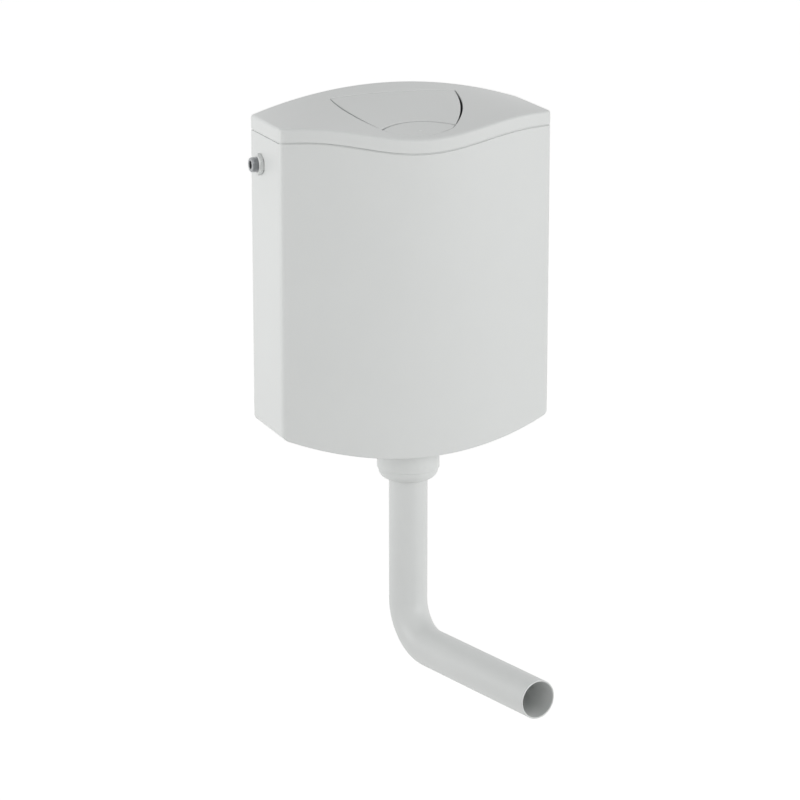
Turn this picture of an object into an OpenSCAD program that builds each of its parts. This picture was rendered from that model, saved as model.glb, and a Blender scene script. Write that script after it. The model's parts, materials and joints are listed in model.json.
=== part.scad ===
// Wall-hung toilet cistern with dual flush, a side water inlet and a swivelling flush bend.
// X runs to the right seen from the front, Y towards the wall and Z up. The wall is the plane y = 0,
// and the origin lies midway between the two wall fixing holes. Millimetres and degrees.

/* [Tank] */
// Width of the tank
body_w = 320; // [310:1:360]
// Depth of the side panels, from the wall
side_d = 97; // [94:1:120]
// How far the front bows out past the side panels
front_bow = 25; // [22:1:36]
// Height of the side panels, from the rim to the bottom corners
side_h = 332; // [320:1:380]
// How far the underside sags below the bottom corners
bottom_sag = 30; // [20:1:40]
// Wall thickness of the tank
wall = 3; // [2.4:0.1:4]
// Radius of the two upright front edges
edge_r = 8; // [6:0.5:12]
// Radius of the two lower side corners
bottom_r = 10; // [6:0.5:16]
// Thickness of the condensation liner
liner_t = 5; // [3:0.5:7]
// Height of bare wall between the liner and the rim
liner_drop = 52; // [50:1:80]

/* [Rim and seam] */
// How far the rim dips at the middle of the front
rim_dip = 18; // [10:1:20]
// Half the length of the dip
dip_half = 139; // [110:1:145]
// Height of the step in the rim that shows as a dark seam
step_h = 1.2; // [0.8:0.1:2]
// Width of that step
step_w = 1.4; // [1:0.1:1.8]

/* [Lid] */
// Height of the lid's side band
lid_band = 15.4; // [13:0.2:20]
// How far the lid's back edge arches up
lid_arch = 27.5; // [24:0.5:34]
// Wall thickness of the lid
lid_wall = 2.8; // [2.4:0.1:3.4]
// Radius of the lid's top edge
lid_edge_r = 3; // [2:0.2:4]
// Depth of the locating tabs below the rim
tab_drop = 8; // [5:0.5:12]

/* [Buttons] */
// Radius of the opening's side arcs
open_r = 116; // [112:1:120]
// Half the width of the opening at its back edge
open_half = 75; // [72:0.5:77]
// Distance of the opening's back edge from the wall
open_back = 21; // [20:0.5:22]
// Radius of the opening's front arc
open_front_r = 90; // [80:1:100]
// Distance of the opening's front tip from the wall
open_front = 114; // [113:0.5:115]
// Radius of the arc between the two buttons
split_r = 66; // [60:1:72]
// Distance of the top of that arc from the wall
split_y = 82; // [80:0.5:83]
// Gap round the buttons
button_gap = 0.8; // [0.6:0.1:1]
// Gap between the two buttons
split_gap = 2.2; // [2:0.1:2.6]
// Gap at the middle of the full-flush button's sides
side_gap = 3.6; // [2:0.1:4]
// How far the buttons lie below the lid's surface
button_recess = 1.2; // [0.6:0.1:1.6]
// Thickness of the buttons
button_t = 2.6; // [2:0.1:3]
// Diameter of the full-flush button's hinge pin
hinge_d = 3; // [2.5:0.1:3.4]
// Diameter of the part-flush button's stem
stem_d = 10; // [8:0.5:11]

/* [Wall fixings] */
// Distance between the two fixing holes
fixing_spacing = 180; // [150:5:220]
// Diameter of the fixing holes
fixing_d = 8; // [6:0.5:9]
// Depth of the fixing holes below the rim
fixing_drop = 30; // [28:1:34]

/* [Water inlet] */
// Outer diameter of the inlet thread
inlet_d = 16.66; // [14:0.01:18]
// Bore of the inlet shank
inlet_bore = 9; // [7:0.5:10]
// Distance of the inlet from the wall
inlet_y = 34; // [33:0.5:38]
// Depth of the inlet below the rim
inlet_drop = 34; // [33:0.5:36]
// Thickness of the inlet nut
inlet_nut_t = 3.6; // [3:0.1:6]
// Width of the inlet nut across its corners
inlet_nut_w = 25; // [23:0.5:28]
// Length of free thread outside the nut
inlet_free = 10.4; // [8:0.2:16]

/* [Outlet and flush pipe] */
// Distance of the outlet from the wall
outlet_y = 69; // [67:0.5:71]
// Outer diameter of the flush pipe
pipe_d = 44; // [40:0.5:46]
// Wall thickness of the flush pipe
pipe_wall = 1.8; // [1.5:0.1:2.5]
// Drop from the tank's underside to the level leg
pipe_drop = 228; // [150:1:320]
// Bend radius of the flush pipe
bend_r = 48; // [40:1:70]
// Reach of the level leg from the upright leg
pipe_reach = 252; // [150:2:330]
// Turn of the level leg to the right of straight ahead
pipe_turn = 12.7; // [-45:0.1:45]
// Height of the union nut
union_h = 31; // [28:0.5:38]
// Outer radius of the union nut
union_r = 34.2; // [33.4:0.1:36]
// Height of the outlet lock nut
locknut_h = 8; // [6:0.5:12]

/* [Flush valve] */
// Outer radius of the threaded outlet socket
socket_r = 29; // [28.6:0.1:29.6]
// Thickness of the outlet gasket
gasket_t = 3; // [2:0.2:4]
// Outer radius of the valve housing
housing_r = 34; // [32.5:0.25:34.5]
// Height of the valve housing's windows
window_h = 40; // [30:1:60]
// Outer radius of the overflow tube
tube_r = 16; // [14.5:0.25:16.5]
// Depth of the top of the overflow tube below the rim
tube_drop = 58; // [56:1:64]
// Depth of the valve housing's top below the rim
housing_drop = 100; // [96:1:110]
// Length of the valve float
float_len = 60; // [40:1:70]

/* [Flush levers] */
// Height of the levers' pins below the rim
pivot_drop = 22; // [21.5:0.25:23]
// Distance of the levers' pins from the wall
pivot_y = 64; // [63:0.25:65]
// Distance of each lever from the middle
lever_x = 30; // [29:0.25:32]
// Width of a lever
lever_w = 6; // [5:0.25:7]
// Height of a lever
lever_h = 7; // [6:0.25:7.5]
// Diameter of the levers' pins
lever_pin_d = 4; // [3:0.1:5]
// Length of a lever behind its pin, to the lift rod
lever_rear = 28; // [27:0.25:29]
// Diameter of the lift rods
rod_d = 4; // [3:0.1:4.4]

/* [Fill valve] */
// Distance of the fill valve's column from the tank's side
column_in = 42; // [38:0.5:46]
// Outer radius of the fill valve's column
column_r = 12; // [11:0.25:13]
// Outer radius of the float
cup_r = 24; // [18:0.5:24.5]
// Height of the float
cup_h = 50; // [40:1:70]
// Depth of the float's top below the rim, with the tank empty
cup_drop = 92; // [88:1:100]
// Outer radius of the downpipe
down_r = 7; // [6.4:0.1:8]
// Clear height under the downpipe
down_clear = 24; // [16:1:60]

/* [Hidden] */
$fn = 96;

// Clearances
run_gap = 0.3;
fit_gap = 0.05;
pin_gap = 0.08;
nudge = 1;

// How far a rounding circle crosses the two sides that it joins
cross = 0.04;

// Levels of the tank
rim_z = fixing_drop;
under_z = rim_z - side_h - bottom_sag;
front_d = side_d + front_bow;
tall = side_h + bottom_sag + lid_band + lid_arch;
dip_steps = 40;
liner_in = wall + run_gap;
fix_boss_r = fixing_d / 2 + 5;

// Outlet stack, from the pad in the tank's floor upwards
pad_below = 1.5;
pad_above = 4;
pad_low = under_z - pad_below;
pad_top = under_z + wall + pad_above;
gasket_top = pad_top + gasket_t;
socket_flange_t = 4;
socket_flange_r = housing_r + 6;
pad_r = socket_flange_r + 3;
socket_top = gasket_top + socket_flange_t;
seat_h = 6;
seat_w = 3;
seat_top = socket_top + seat_h;
pipe_r = pipe_d / 2;
pipe_in = pipe_r - pipe_wall;
seat_r = pipe_in + 1.3;

// Outlet stack, from the pad downwards
locknut_r = socket_r + 4;
locknut_top = pad_low - run_gap;
locknut_low = locknut_top - locknut_h;
union_top = locknut_low - 0.5;
union_low = union_top - union_h;
union_bead_h = 13.6;
union_bead_r = union_r + 1.3;
union_thread = 18;
socket_low = union_top - union_thread;
seal_ring_top = socket_low - run_gap;
seal_ring_h = 4.4;
seal_ring_low = seal_ring_top - seal_ring_h;
nut_bore = socket_r + run_gap;
pipe_hole = pipe_r + 0.35;
socket_hole_r = socket_r + 0.6;
pipe_top = pad_low - 6.5;

// Flush pipe
leg_z = under_z - pipe_drop;
bend_top = leg_z + bend_r;
leg_len = pipe_reach - bend_r;

// Flush valve
housing_wall = 2.2;
housing_top = rim_z - housing_drop;
housing_cap = 3;
tube_wall = 2;
tube_top = rim_z - tube_drop;
tube_low = seat_top - 3;
seal_t = 3;
seal_low = seat_top + run_gap;
seal_top = seal_low + seal_t;
seal_r = seat_r + seat_w + 3.5;
carrier_t = 3;
clip_t = 2;
clip_r = seat_r - 2.5;
float_low = seal_top + 58;
float_r = housing_r - housing_wall - 2.6;
float_wall = 2;

// Flush levers
pivot_z = rim_z - pivot_drop;
lever_top = pivot_z + lever_h / 2;
lever_boss_r = 6;
fork_slot = rod_d + 1.2;
fork_tine = 2.5;
fork_w = fork_slot + 2 * fork_tine;
fork_root = lever_rear - 9;
fork_end = lever_rear + 10;
plate_t = 4;
plate_gap = 0.5;
plate_d = 14;
plate_w = lever_w + 2 * plate_gap + 2 * plate_t;
slot_drop = 10;
bridge_t = 3;
bridge_r = housing_r + 2;
ball_r = 4.2;
rod_foot_r = rod_d / 2 + 1.5;
rod_foot_h = 2;
ball_rise = sqrt(ball_r * ball_r - fork_slot * fork_slot / 4) + 0.7;
ball_z = lever_top + ball_rise;
rod_y = -pivot_y + lever_rear;
rod_angle = atan2(rod_y + outlet_y, lever_x);
rod_reach = norm([lever_x, rod_y + outlet_y]);
lift_arm_z = tube_top - 30;
lift_arm_h = 8;
lift_arm_w = 8;
lift_eye_r = lift_arm_w / 2 + 1;
collar_w = 4.5;
half_float_r = rod_reach - housing_r - 1.1;
half_float_top = housing_top - 30;
half_float_h = 50;
guide_r = 6;
guide_h = 4;

// Opening for the buttons: two side arcs and a front arc, cut off straight at the back
open_x = open_r - open_half;
open_front_y = open_front_r - open_front;
split_c = split_y + split_r;
corner_y = -100;
side_corner = sqrt(open_r * open_r - pow(corner_y + open_back, 2)) - open_x;
side_mid_y = (corner_y - open_back) / 2;
side_end_gap = 1;

// Buttons
push_x = lever_x + 2;
push_y = -85;
push_r = 2.8;
push_gap = 1.2;
stem_y = -98;
stem_gap = 1;
hinge_y = -24;
hinge_low = 8.3;
hinge_x = 44;
hinge_w = 6;
hinge_boss_r = 4;
ear_x = hinge_x + 8;
ear_w = 5;
ear_r = 3.2;

// Button frame, which hangs on four bosses of the lid
frame_t = 4;
frame_drop = 11;
frame_top = rim_z - frame_drop;
frame_low = frame_top - frame_t;
frame_in = ear_x + ear_w / 2 + 1.5;
rail_w = 8;
frame_out = frame_in + rail_w;
frame_back = -11;
frame_front = -111;
boss_x = 82;
boss_back = -16;
boss_front = -100;
boss_r = 4.5;
screw_r = 1.5;
screw_head_r = 3.6;
screw_head_h = 2.6;
screw_bite = 9;
sleeve_r = stem_d / 2 + 4;
sleeve_h = 5;
stem_fit = 0.2;

// Water inlet and fill valve
inlet_z = rim_z - inlet_drop;
inlet_r = inlet_d / 2;
thread_depth = 0.855;
core_r = inlet_r - thread_depth;
inlet_wall_x = body_w / 2;
column_x = inlet_wall_x - column_in;
washer_t = 2;
washer_r = inlet_r + 4.6;
shank_flange_t = 3;
shank_in = inlet_wall_x - wall - washer_t - shank_flange_t;
spigot_r = inlet_r - 1.8;
spigot_len = 10;
branch_r = spigot_r + 3.5;
wall_hole_r = inlet_r + run_gap;
column_low = inlet_z - 20;
column_top = inlet_z + branch_r + 1;
diaphragm_t = 1.5;
cap_low = column_top + diaphragm_t;
cap_h = 5.5;
cap_top = cap_low + cap_h;
nozzle_r = 2;
nozzle_h = 3.6;
arm_pivot_x = -column_x + 11;
arm_z = cap_top + 13;
arm_h = 5;
arm_w = 8;
arm_pin_r = 1.5;
arm_boss_r = 4.5;
arm_ear_t = 3;
arm_link = 28;
arm_short = 15;
arm_end = arm_link + 8;
link_x = arm_pivot_x + arm_link;
link_slot = rod_d + 1.2;
link_ball_low = arm_z - arm_h / 2 - 4.3;
link_ball_high = arm_z + arm_h / 2 + 4.9;
pad_t = 1.5;
pad_rubber_r = 3;
cup_top = rim_z - cup_drop;
cup_low = cup_top - cup_h;
cup_wall = 2;
cup_sleeve_r = down_r + 0.4;
cup_lug_t = 4;
stop_r = down_r + 4;
stop_h = 4;
down_wall = 2;
down_in = 14;

// Blanking plug of the unused inlet hole
plug_flange_r = inlet_r + 3.7;
plug_flange_t = 2.8;
plug_r = inlet_r - 0.1;
plug_len = 14;
plug_nut_t = 6;
plug_bore = 5;

// Radius of the arc over a chord with the given rise
function arc_radius(chord, rise) = (chord * chord / 4 + rise * rise) / (2 * rise);

// Centre of the circle through three points
function circle_centre(a, b, c) =
    let (d = 2 * (a.x * (b.y - c.y) + b.x * (c.y - a.y) + c.x * (a.y - b.y)))
    [
        ((a * a) * (b.y - c.y) + (b * b) * (c.y - a.y) + (c * c) * (a.y - b.y)) / d,
        ((a * a) * (c.x - b.x) + (b * b) * (a.x - c.x) + (c * c) * (b.x - a.x)) / d
    ];

// Share of the rim's dip at a place across the front
function bell(x) = abs(x) < dip_half ? (1 + cos(180 * x / dip_half)) / 2 : 0;

// Plan of the front: a wide arc between two rounded upright edges
plan_r = arc_radius(body_w, front_bow);
plan_cy = plan_r - front_d;
edge_cx = body_w / 2 - edge_r;
edge_cy = plan_cy - sqrt(pow(plan_r - edge_r, 2) - edge_cx * edge_cx);
edge_turn = asin(edge_cx / (plan_r - edge_r));

// Share of the way from the lid's back edge to its front edge
function depth_share(x, y) = -y / (sqrt(plan_r * plan_r - x * x) - plan_cy);

// Height of the lid's surface: a ruled saddle between the arched back and the dipped front
function lid_z(x, y) =
    let (t = depth_share(x, y), arch = 1 - pow(2 * x / body_w, 2))
    rim_z + lid_band + lid_arch * arch * (1 - t) - rim_dip * bell(x) * t;

// Height of the full-flush button's hinge pin
hinge_z = lid_z(hinge_x, hinge_y) - hinge_low;

// Height of the rim under the lid's skirt, which dips only at the front
function skirt_z(x, y) =
    let (t = depth_share(x, y))
    rim_z + run_gap - (t > 0.5 ? rim_dip * bell(x) * t : 0);

// Points along the front of the lid's plan, left to right, moved in by e
arc_steps = 40;
edge_steps = 4;
function edge_point(turn, e) =
    [edge_cx + (edge_r - e) * cos(turn), edge_cy - (edge_r - e) * sin(turn)];
function front_points(e) =
    let (
        edge_arc = [for (k = [0 : edge_steps - 1]) edge_point((90 - edge_turn) * k / edge_steps, e)],
        main_arc = [
            for (k = [0 : arc_steps])
                let (turn = edge_turn * (2 * k / arc_steps - 1))
                [(plan_r - e) * sin(turn), plan_cy - (plan_r - e) * cos(turn)]
        ]
    )
    concat(
        [for (p = edge_arc) [-p.x, p.y]],
        main_arc,
        [for (k = [edge_steps - 1 : -1 : 0]) edge_arc[k]]
    );

// Solid of rings that follow the lid's plan. Each ring is [inset, drop, on the rim or not], and the
// first and the last ring are closed by a net of triangles.
net_rows = 6;
module saddle_solid(rings) {
    n = len(front_points(0)) - 1;
    m = net_rows;
    edge = concat(
        [for (i = [0 : n]) [i, m]],
        [for (j = [m - 1 : -1 : 1]) [n, j]],
        [for (i = [n : -1 : 0]) [i, 0]],
        [for (j = [1 : m - 1]) [0, j]]
    );
    count = len(edge);
    last = len(rings) - 1;
    net_size = (n + 1) * (m + 1);
    function place(front, ring, i, j) =
        let (
            x = front[i].x,
            y = -ring[0] + (front[i].y + ring[0]) * j / m
        )
        [x, y, ring[2] ? skirt_z(x, y) : lid_z(x, y) - ring[1]];
    function net(ring) =
        let (front = front_points(ring[0]))
        [for (i = [0 : n]) for (j = [0 : m]) place(front, ring, i, j)];
    function loop(ring) =
        let (front = front_points(ring[0]))
        [for (e = edge) place(front, ring, e[0], e[1])];
    top_start = net_size + (last - 1) * count;
    function cell(i, j) = i * (m + 1) + j;
    function ring_index(k, b) =
        let (e = edge[b % count])
        k == 0 ? cell(e[0], e[1]) :
        k == last ? top_start + cell(e[0], e[1]) :
        net_size + (k - 1) * count + b % count;
    net_cells = [for (i = [0 : n - 1]) for (j = [0 : m - 1]) [i, j]];
    under = [
        for (c = net_cells) for (half = [0, 1])
            let (
                a = cell(c[0], c[1]),
                b = cell(c[0] + 1, c[1]),
                d = cell(c[0] + 1, c[1] + 1),
                e = cell(c[0], c[1] + 1)
            )
            half == 0 ? [a, d, b] : [a, e, d]
    ];
    over = [for (f = under) [top_start + f[0], top_start + f[2], top_start + f[1]]];
    sides = [
        for (k = [0 : last - 1]) for (b = [0 : count - 1]) for (half = [0, 1])
            half == 0 ?
                [ring_index(k, b), ring_index(k + 1, b), ring_index(k + 1, b + 1)] :
                [ring_index(k, b), ring_index(k + 1, b + 1), ring_index(k, b + 1)]
    ];
    polyhedron(
        points = concat(
            net(rings[0]),
            [for (k = [1 : 1 : last - 1]) for (p = loop(rings[k])) p],
            net(rings[last])
        ),
        faces = concat(under, sides, over)
    );
}

// Outline with a flat back, straight sides and a bowed front that faces -Y. Everything but the back
// moves in by inset, and back gives the flat side's place.
module bowed_outline(w, d, bow, r, inset, back) {
    half = w / 2 - inset;
    big = arc_radius(w, bow);
    cy = big - d - bow;
    big_in = big - inset;
    r_in = max(r - inset, nudge);
    cx = half - r_in + cross;
    reach = big_in - r_in + cross;
    corner_cy = cy - sqrt(reach * reach - cx * cx);
    out = [cx, corner_cy - cy] / reach;
    far = 2 * r;
    module plain() {
        intersection() {
            translate([-half, -d - bow - nudge])
                square([2 * half, back + d + bow + nudge]);
            translate([0, cy])
                circle(big_in);
        }
    }
    module corner(turn) {
        mirror([turn, 0])
            difference() {
                polygon([
                    [cx, corner_cy],
                    [cx + out.x * far, corner_cy + out.y * far],
                    [half + far, corner_cy - far],
                    [half + far, corner_cy]
                ]);
                translate([cx, corner_cy])
                    circle(r_in);
            }
    }
    difference() {
        plain();
        corner(0);
        corner(1);
    }
}

// The tank's outer form moved in by inset, up to top_z
module body_solid(inset, back_y, top_z) {
    intersection() {
        translate([0, 0, under_z - nudge])
            linear_extrude(tall)
                bowed_outline(body_w, side_d, front_bow, edge_r, inset, back_y);
        translate([0, nudge, rim_z])
            rotate([90, 0, 0])
                linear_extrude(front_d + 2 * nudge)
                    bowed_outline(body_w, side_h, bottom_sag, bottom_r, inset, top_z - rim_z);
    }
}

// Everything above the rim, with the dip at the front, lowered by drop
module above_rim(drop) {
    dip = [
        for (k = [0 : dip_steps])
            let (x = dip_half * (2 * k / dip_steps - 1))
            [x, -rim_dip * bell(x)]
    ];
    translate([-body_w, -2 * front_d, rim_z - drop])
        cube([2 * body_w, 3 * front_d, tall]);
    translate([0, -side_d / 2, rim_z - drop])
        rotate([90, 0, 0])
            linear_extrude(front_d)
                polygon(concat(dip, [[dip_half, nudge], [-dip_half, nudge]]));
}

// A cylinder along X from x1 to x2
module rod_along_x(x1, x2, r, y, z) {
    translate([x1, y, z])
        rotate([0, 90, 0])
            cylinder(h = x2 - x1, r = r);
}

// A cylinder along Y from y1 to y2
module rod_along_y(y1, y2, r, x, z) {
    translate([x, y2, z])
        rotate([90, 0, 0])
            cylinder(h = y2 - y1, r = r);
}

// An upright ring on the outlet's axis
module outlet_ring(z1, z2, r_out, r_in) {
    translate([0, -outlet_y, z1])
        linear_extrude(z2 - z1)
            difference() {
                circle(r_out);
                circle(r_in);
            }
}

// Float that is open below: a skin, a top and a sleeve
module open_float(h, r_out, r_in, t) {
    rotate_extrude()
        polygon([
            [r_in, 0], [r_in + t, 0], [r_in + t, h - t], [r_out - t, h - t],
            [r_out - t, 0], [r_out, 0], [r_out, h], [r_in, h]
        ]);
}

// Moulded tank with its outlet pad and fixing bosses
module tank() {
    color("#dfe1e0")
    difference() {
        union() {
            difference() {
                body_solid(0, 0, rim_z);
                above_rim(step_h);
            }
            difference() {
                body_solid(step_w, -step_w, rim_z + nudge);
                above_rim(0);
            }
        }
        difference() {
            body_solid(wall, -wall, rim_z + tall / 2);
            translate([0, -outlet_y, pad_low])
                cylinder(h = pad_top - pad_low, r = pad_r);
            for (side = [-1, 1])
                rod_along_y(-2 * wall, 0, fix_boss_r, side * fixing_spacing / 2, 0);
        }
        translate([0, -outlet_y, pad_low - nudge])
            cylinder(h = pad_top - pad_low + 2 * nudge, r = socket_hole_r);
        rod_along_x(-body_w, body_w, wall_hole_r, -inlet_y, inlet_z);
        for (side = [-1, 1])
            rod_along_y(-3 * wall, wall, fixing_d / 2, side * fixing_spacing / 2, 0);
    }
    color("#dfe1e0")
    difference() {
        translate([0, -outlet_y, pad_low])
            cylinder(h = pad_below + wall, r = pad_r);
        translate([0, -outlet_y, pad_low - nudge])
            cylinder(h = pad_below + wall + 2 * nudge, r = socket_hole_r);
    }
}

// Expanded foam lining of the tank's lower part
module condensation_liner() {
    color("#f2f2ef")
    difference() {
        body_solid(liner_in, -liner_in, rim_z);
        body_solid(liner_in + liner_t, -liner_in - liner_t, rim_z + nudge);
        translate([-body_w, -2 * front_d, rim_z - liner_drop])
            cube([2 * body_w, 3 * front_d, tall]);
        translate([0, -outlet_y, under_z - nudge])
            cylinder(h = bottom_sag, r = pad_r + nudge);
    }
}

// Flat rubber ring under the socket's flange
module outlet_gasket() {
    color("#2b2b2b")
    outlet_ring(pad_top, gasket_top, socket_flange_r, socket_hole_r);
}

// Threaded outlet with its flange and the seat of the flush valve
module outlet_socket() {
    stop_z = pipe_top + run_gap;
    color("#c9cdd0")
    translate([0, -outlet_y, 0])
        rotate_extrude()
            polygon([
                [pipe_hole, socket_low], [socket_r, socket_low], [socket_r, gasket_top],
                [socket_flange_r, gasket_top], [socket_flange_r, socket_top],
                [seat_r + seat_w, socket_top], [seat_r + seat_w, seat_top], [seat_r, seat_top],
                [seat_r, socket_top], [pipe_in, socket_top], [pipe_in, stop_z], [pipe_hole, stop_z]
            ]);
}

// Twelve-sided nut that clamps the socket to the tank's floor
module outlet_locknut() {
    color("#d6d8d8")
    difference() {
        translate([0, -outlet_y, locknut_low])
            cylinder(h = locknut_h, r = locknut_r, $fn = 12);
        translate([0, -outlet_y, locknut_low - nudge])
            cylinder(h = locknut_h + 2 * nudge, r = nut_bore);
    }
}

// Nut that holds the flush pipe, with a bead on top and a round shoulder below
module union_nut() {
    shoulder = union_r - pipe_hole;
    color("#dfe1e0")
    translate([0, -outlet_y, 0])
        rotate_extrude()
            difference() {
                union() {
                    translate([0, union_top - union_bead_h])
                        square([union_bead_r, union_bead_h]);
                    translate([0, union_low + shoulder])
                        square([union_r, union_h - shoulder]);
                    intersection() {
                        translate([pipe_hole, union_low + shoulder])
                            circle(shoulder);
                        translate([pipe_hole, union_low])
                            square([shoulder, shoulder]);
                    }
                }
                translate([0, seal_ring_low - run_gap])
                    square([nut_bore, tall]);
                translate([0, union_low - nudge])
                    square([pipe_hole, tall]);
            }
}

// Rubber ring between the union nut and the socket
module pipe_seal() {
    color("#2b2b2b")
    outlet_ring(seal_ring_low, seal_ring_top, nut_bore - run_gap, pipe_hole);
}

// Tower round the flush valve, with windows at its foot
module valve_housing() {
    window_w = housing_r * 0.8;
    foot = 3;
    color("#e8eaea")
    difference() {
        outlet_ring(socket_top, housing_top, housing_r, tube_r + 1);
        outlet_ring(socket_top - nudge, housing_top - housing_cap, housing_r - housing_wall, tube_r);
        for (turn = [0, 90])
            translate([0, -outlet_y, socket_top + seat_h + foot])
                rotate([0, 0, turn])
                    translate([-housing_r - nudge, -window_w / 2, 0])
                        cube([2 * (housing_r + nudge), window_w, window_h]);
    }
}

// Bracket on the housing that carries the two flush levers and guides the part-flush rod
module lever_bridge() {
    base_z = housing_top;
    color("#3f6fa8")
    difference() {
        union() {
            outlet_ring(base_z, base_z + bridge_t, bridge_r, tube_r + 1);
            for (side = [-1, 1]) {
                translate([side * lever_x - plate_w / 2, -pivot_y - plate_d / 2, base_z])
                    cube([plate_w, plate_d, pivot_z - base_z]);
                rod_along_x(side * lever_x - plate_w / 2, side * lever_x + plate_w / 2, plate_d / 2,
                    -pivot_y, pivot_z);
            }
            translate([0, -outlet_y, base_z])
                rotate([0, 0, 180 - rod_angle])
                    translate([tube_r + 2, -guide_r / 2, 0])
                        cube([rod_reach - tube_r - 2, guide_r, guide_h]);
            translate([-lever_x, rod_y, base_z])
                cylinder(h = guide_h, r = guide_r);
        }
        for (side = [-1, 1]) {
            translate([side * lever_x - lever_w / 2 - plate_gap, -pivot_y - plate_d, pivot_z - slot_drop])
                cube([lever_w + 2 * plate_gap, 2 * plate_d, slot_drop + plate_d]);
            rod_along_x(side * lever_x - plate_w, side * lever_x + plate_w, lever_pin_d / 2 + fit_gap,
                -pivot_y, pivot_z);
        }
        translate([-lever_x, rod_y, base_z - nudge])
            cylinder(h = guide_h + 2 * nudge, r = rod_d / 2 + run_gap);
    }
}

// Two pins that the levers turn on
module lever_pins() {
    reach = plate_w / 2 + 1;
    color("#b8babc")
    for (side = [-1, 1])
        rod_along_x(side * lever_x - reach, side * lever_x + reach, lever_pin_d / 2, -pivot_y, pivot_z);
}

// Threaded metal inlet with a flange inside the tank; the thread under the nut is drawn at its core
module inlet_shank() {
    wall_in = -inlet_wall_x + wall;
    outer_end = -inlet_wall_x - inlet_nut_t - inlet_free;
    thread_end = -inlet_wall_x - inlet_nut_t - run_gap;
    color("#8d9093")
    difference() {
        union() {
            rod_along_x(outer_end, thread_end, inlet_r, -inlet_y, inlet_z);
            rod_along_x(thread_end - nudge, -shank_in, core_r, -inlet_y, inlet_z);
            rod_along_x(wall_in + washer_t, -shank_in, washer_r, -inlet_y, inlet_z);
            rod_along_x(-shank_in - nudge, -shank_in + spigot_len, spigot_r, -inlet_y, inlet_z);
        }
        rod_along_x(outer_end - nudge, -shank_in + spigot_len + nudge, inlet_bore / 2, -inlet_y, inlet_z);
    }
}

// Six-sided nut outside the tank
module inlet_nut() {
    color("#e6e7e7")
    difference() {
        translate([-inlet_wall_x - inlet_nut_t, -inlet_y, inlet_z])
            rotate([0, 90, 0])
                cylinder(h = inlet_nut_t, r = inlet_nut_w / 2, $fn = 6);
        rod_along_x(-inlet_wall_x - inlet_nut_t - nudge, -inlet_wall_x + nudge, core_r + fit_gap,
            -inlet_y, inlet_z);
    }
}

// Rubber washer between the tank's wall and a flange, from x1 to x2
module wall_washer(x1, x2, bore) {
    color("#2b2b2b")
    difference() {
        rod_along_x(x1, x2, washer_r, -inlet_y, inlet_z);
        rod_along_x(x1 - nudge, x2 + nudge, bore, -inlet_y, inlet_z);
    }
}

module inlet_washer() {
    wall_washer(-inlet_wall_x + wall, -inlet_wall_x + wall + washer_t, inlet_r + fit_gap);
}

// Fill valve: a branch from the inlet and an upright column
module fill_valve_body() {
    color("#e8eaea")
    difference() {
        union() {
            rod_along_x(-shank_in, -column_x, branch_r, -inlet_y, inlet_z);
            translate([-column_x, -inlet_y, column_low])
                cylinder(h = column_top - column_low, r = column_r);
        }
        rod_along_x(-shank_in - nudge, -shank_in + spigot_len + run_gap, spigot_r + fit_gap,
            -inlet_y, inlet_z);
        rod_along_x(-shank_in, -column_x, inlet_bore / 2, -inlet_y, inlet_z);
        translate([-column_x, -inlet_y, column_low - nudge])
            cylinder(h = down_in + nudge, r = down_r + fit_gap);
        translate([-column_x, -inlet_y, column_low])
            cylinder(h = column_top - column_low + nudge, r = down_r - down_wall);
    }
}

// Rubber disc that closes the fill valve
module fill_diaphragm() {
    color("#2b2b2b")
    translate([-column_x, -inlet_y, column_top])
        cylinder(h = diaphragm_t, r = column_r - 1);
}

// Cap over the diaphragm, with the pilot nozzle and the ears of the float arm
module fill_valve_cap() {
    skirt = 6;
    ear_in = arm_w / 2 + plate_gap;
    ear_d = 2 * arm_boss_r;
    color("#3f6fa8")
    difference() {
        union() {
            translate([-column_x, -inlet_y, cap_low])
                cylinder(h = cap_h, r = column_r + 2);
            translate([-column_x, -inlet_y, column_top - skirt])
                difference() {
                    cylinder(h = skirt + diaphragm_t + nudge, r = column_r + 2);
                    translate([0, 0, -nudge])
                        cylinder(h = skirt + diaphragm_t + nudge, r = column_r + fit_gap);
                }
            translate([-column_x, -inlet_y, cap_top - nudge])
                cylinder(h = nozzle_h + nudge, r = nozzle_r);
            for (side = [-1, 1])
                translate([arm_pivot_x - arm_boss_r, -inlet_y + side * (ear_in + arm_ear_t / 2), 0])
                    translate([0, -arm_ear_t / 2, cap_low + nudge])
                        cube([ear_d, arm_ear_t, arm_z + arm_boss_r - cap_low - nudge]);
        }
        rod_along_y(-inlet_y - 2 * arm_w, -inlet_y + 2 * arm_w, arm_pin_r + fit_gap, arm_pivot_x, arm_z);
        rod_along_x(-shank_in, -column_x, branch_r + run_gap, -inlet_y, inlet_z);
    }
}

// Pin of the float arm
module float_arm_pin() {
    reach = arm_w / 2 + plate_gap + arm_ear_t + 1;
    color("#b8babc")
    rod_along_y(-inlet_y - reach, -inlet_y + reach, arm_pin_r, arm_pivot_x, arm_z);
}

// Tube that leads the water down, with the stop that the float hangs on
module fill_downpipe() {
    low = under_z + wall + bottom_sag * pow(2 * column_x / body_w, 2) + down_clear;
    color("#e8eaea")
    translate([-column_x, -inlet_y, 0])
        difference() {
            union() {
                translate([0, 0, low])
                    cylinder(h = column_low + down_in - low, r = down_r);
                translate([0, 0, cup_low - run_gap - stop_h])
                    cylinder(h = stop_h, r = stop_r);
            }
            translate([0, 0, low - nudge])
                cylinder(h = tall, r = down_r - down_wall);
        }
}

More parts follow.
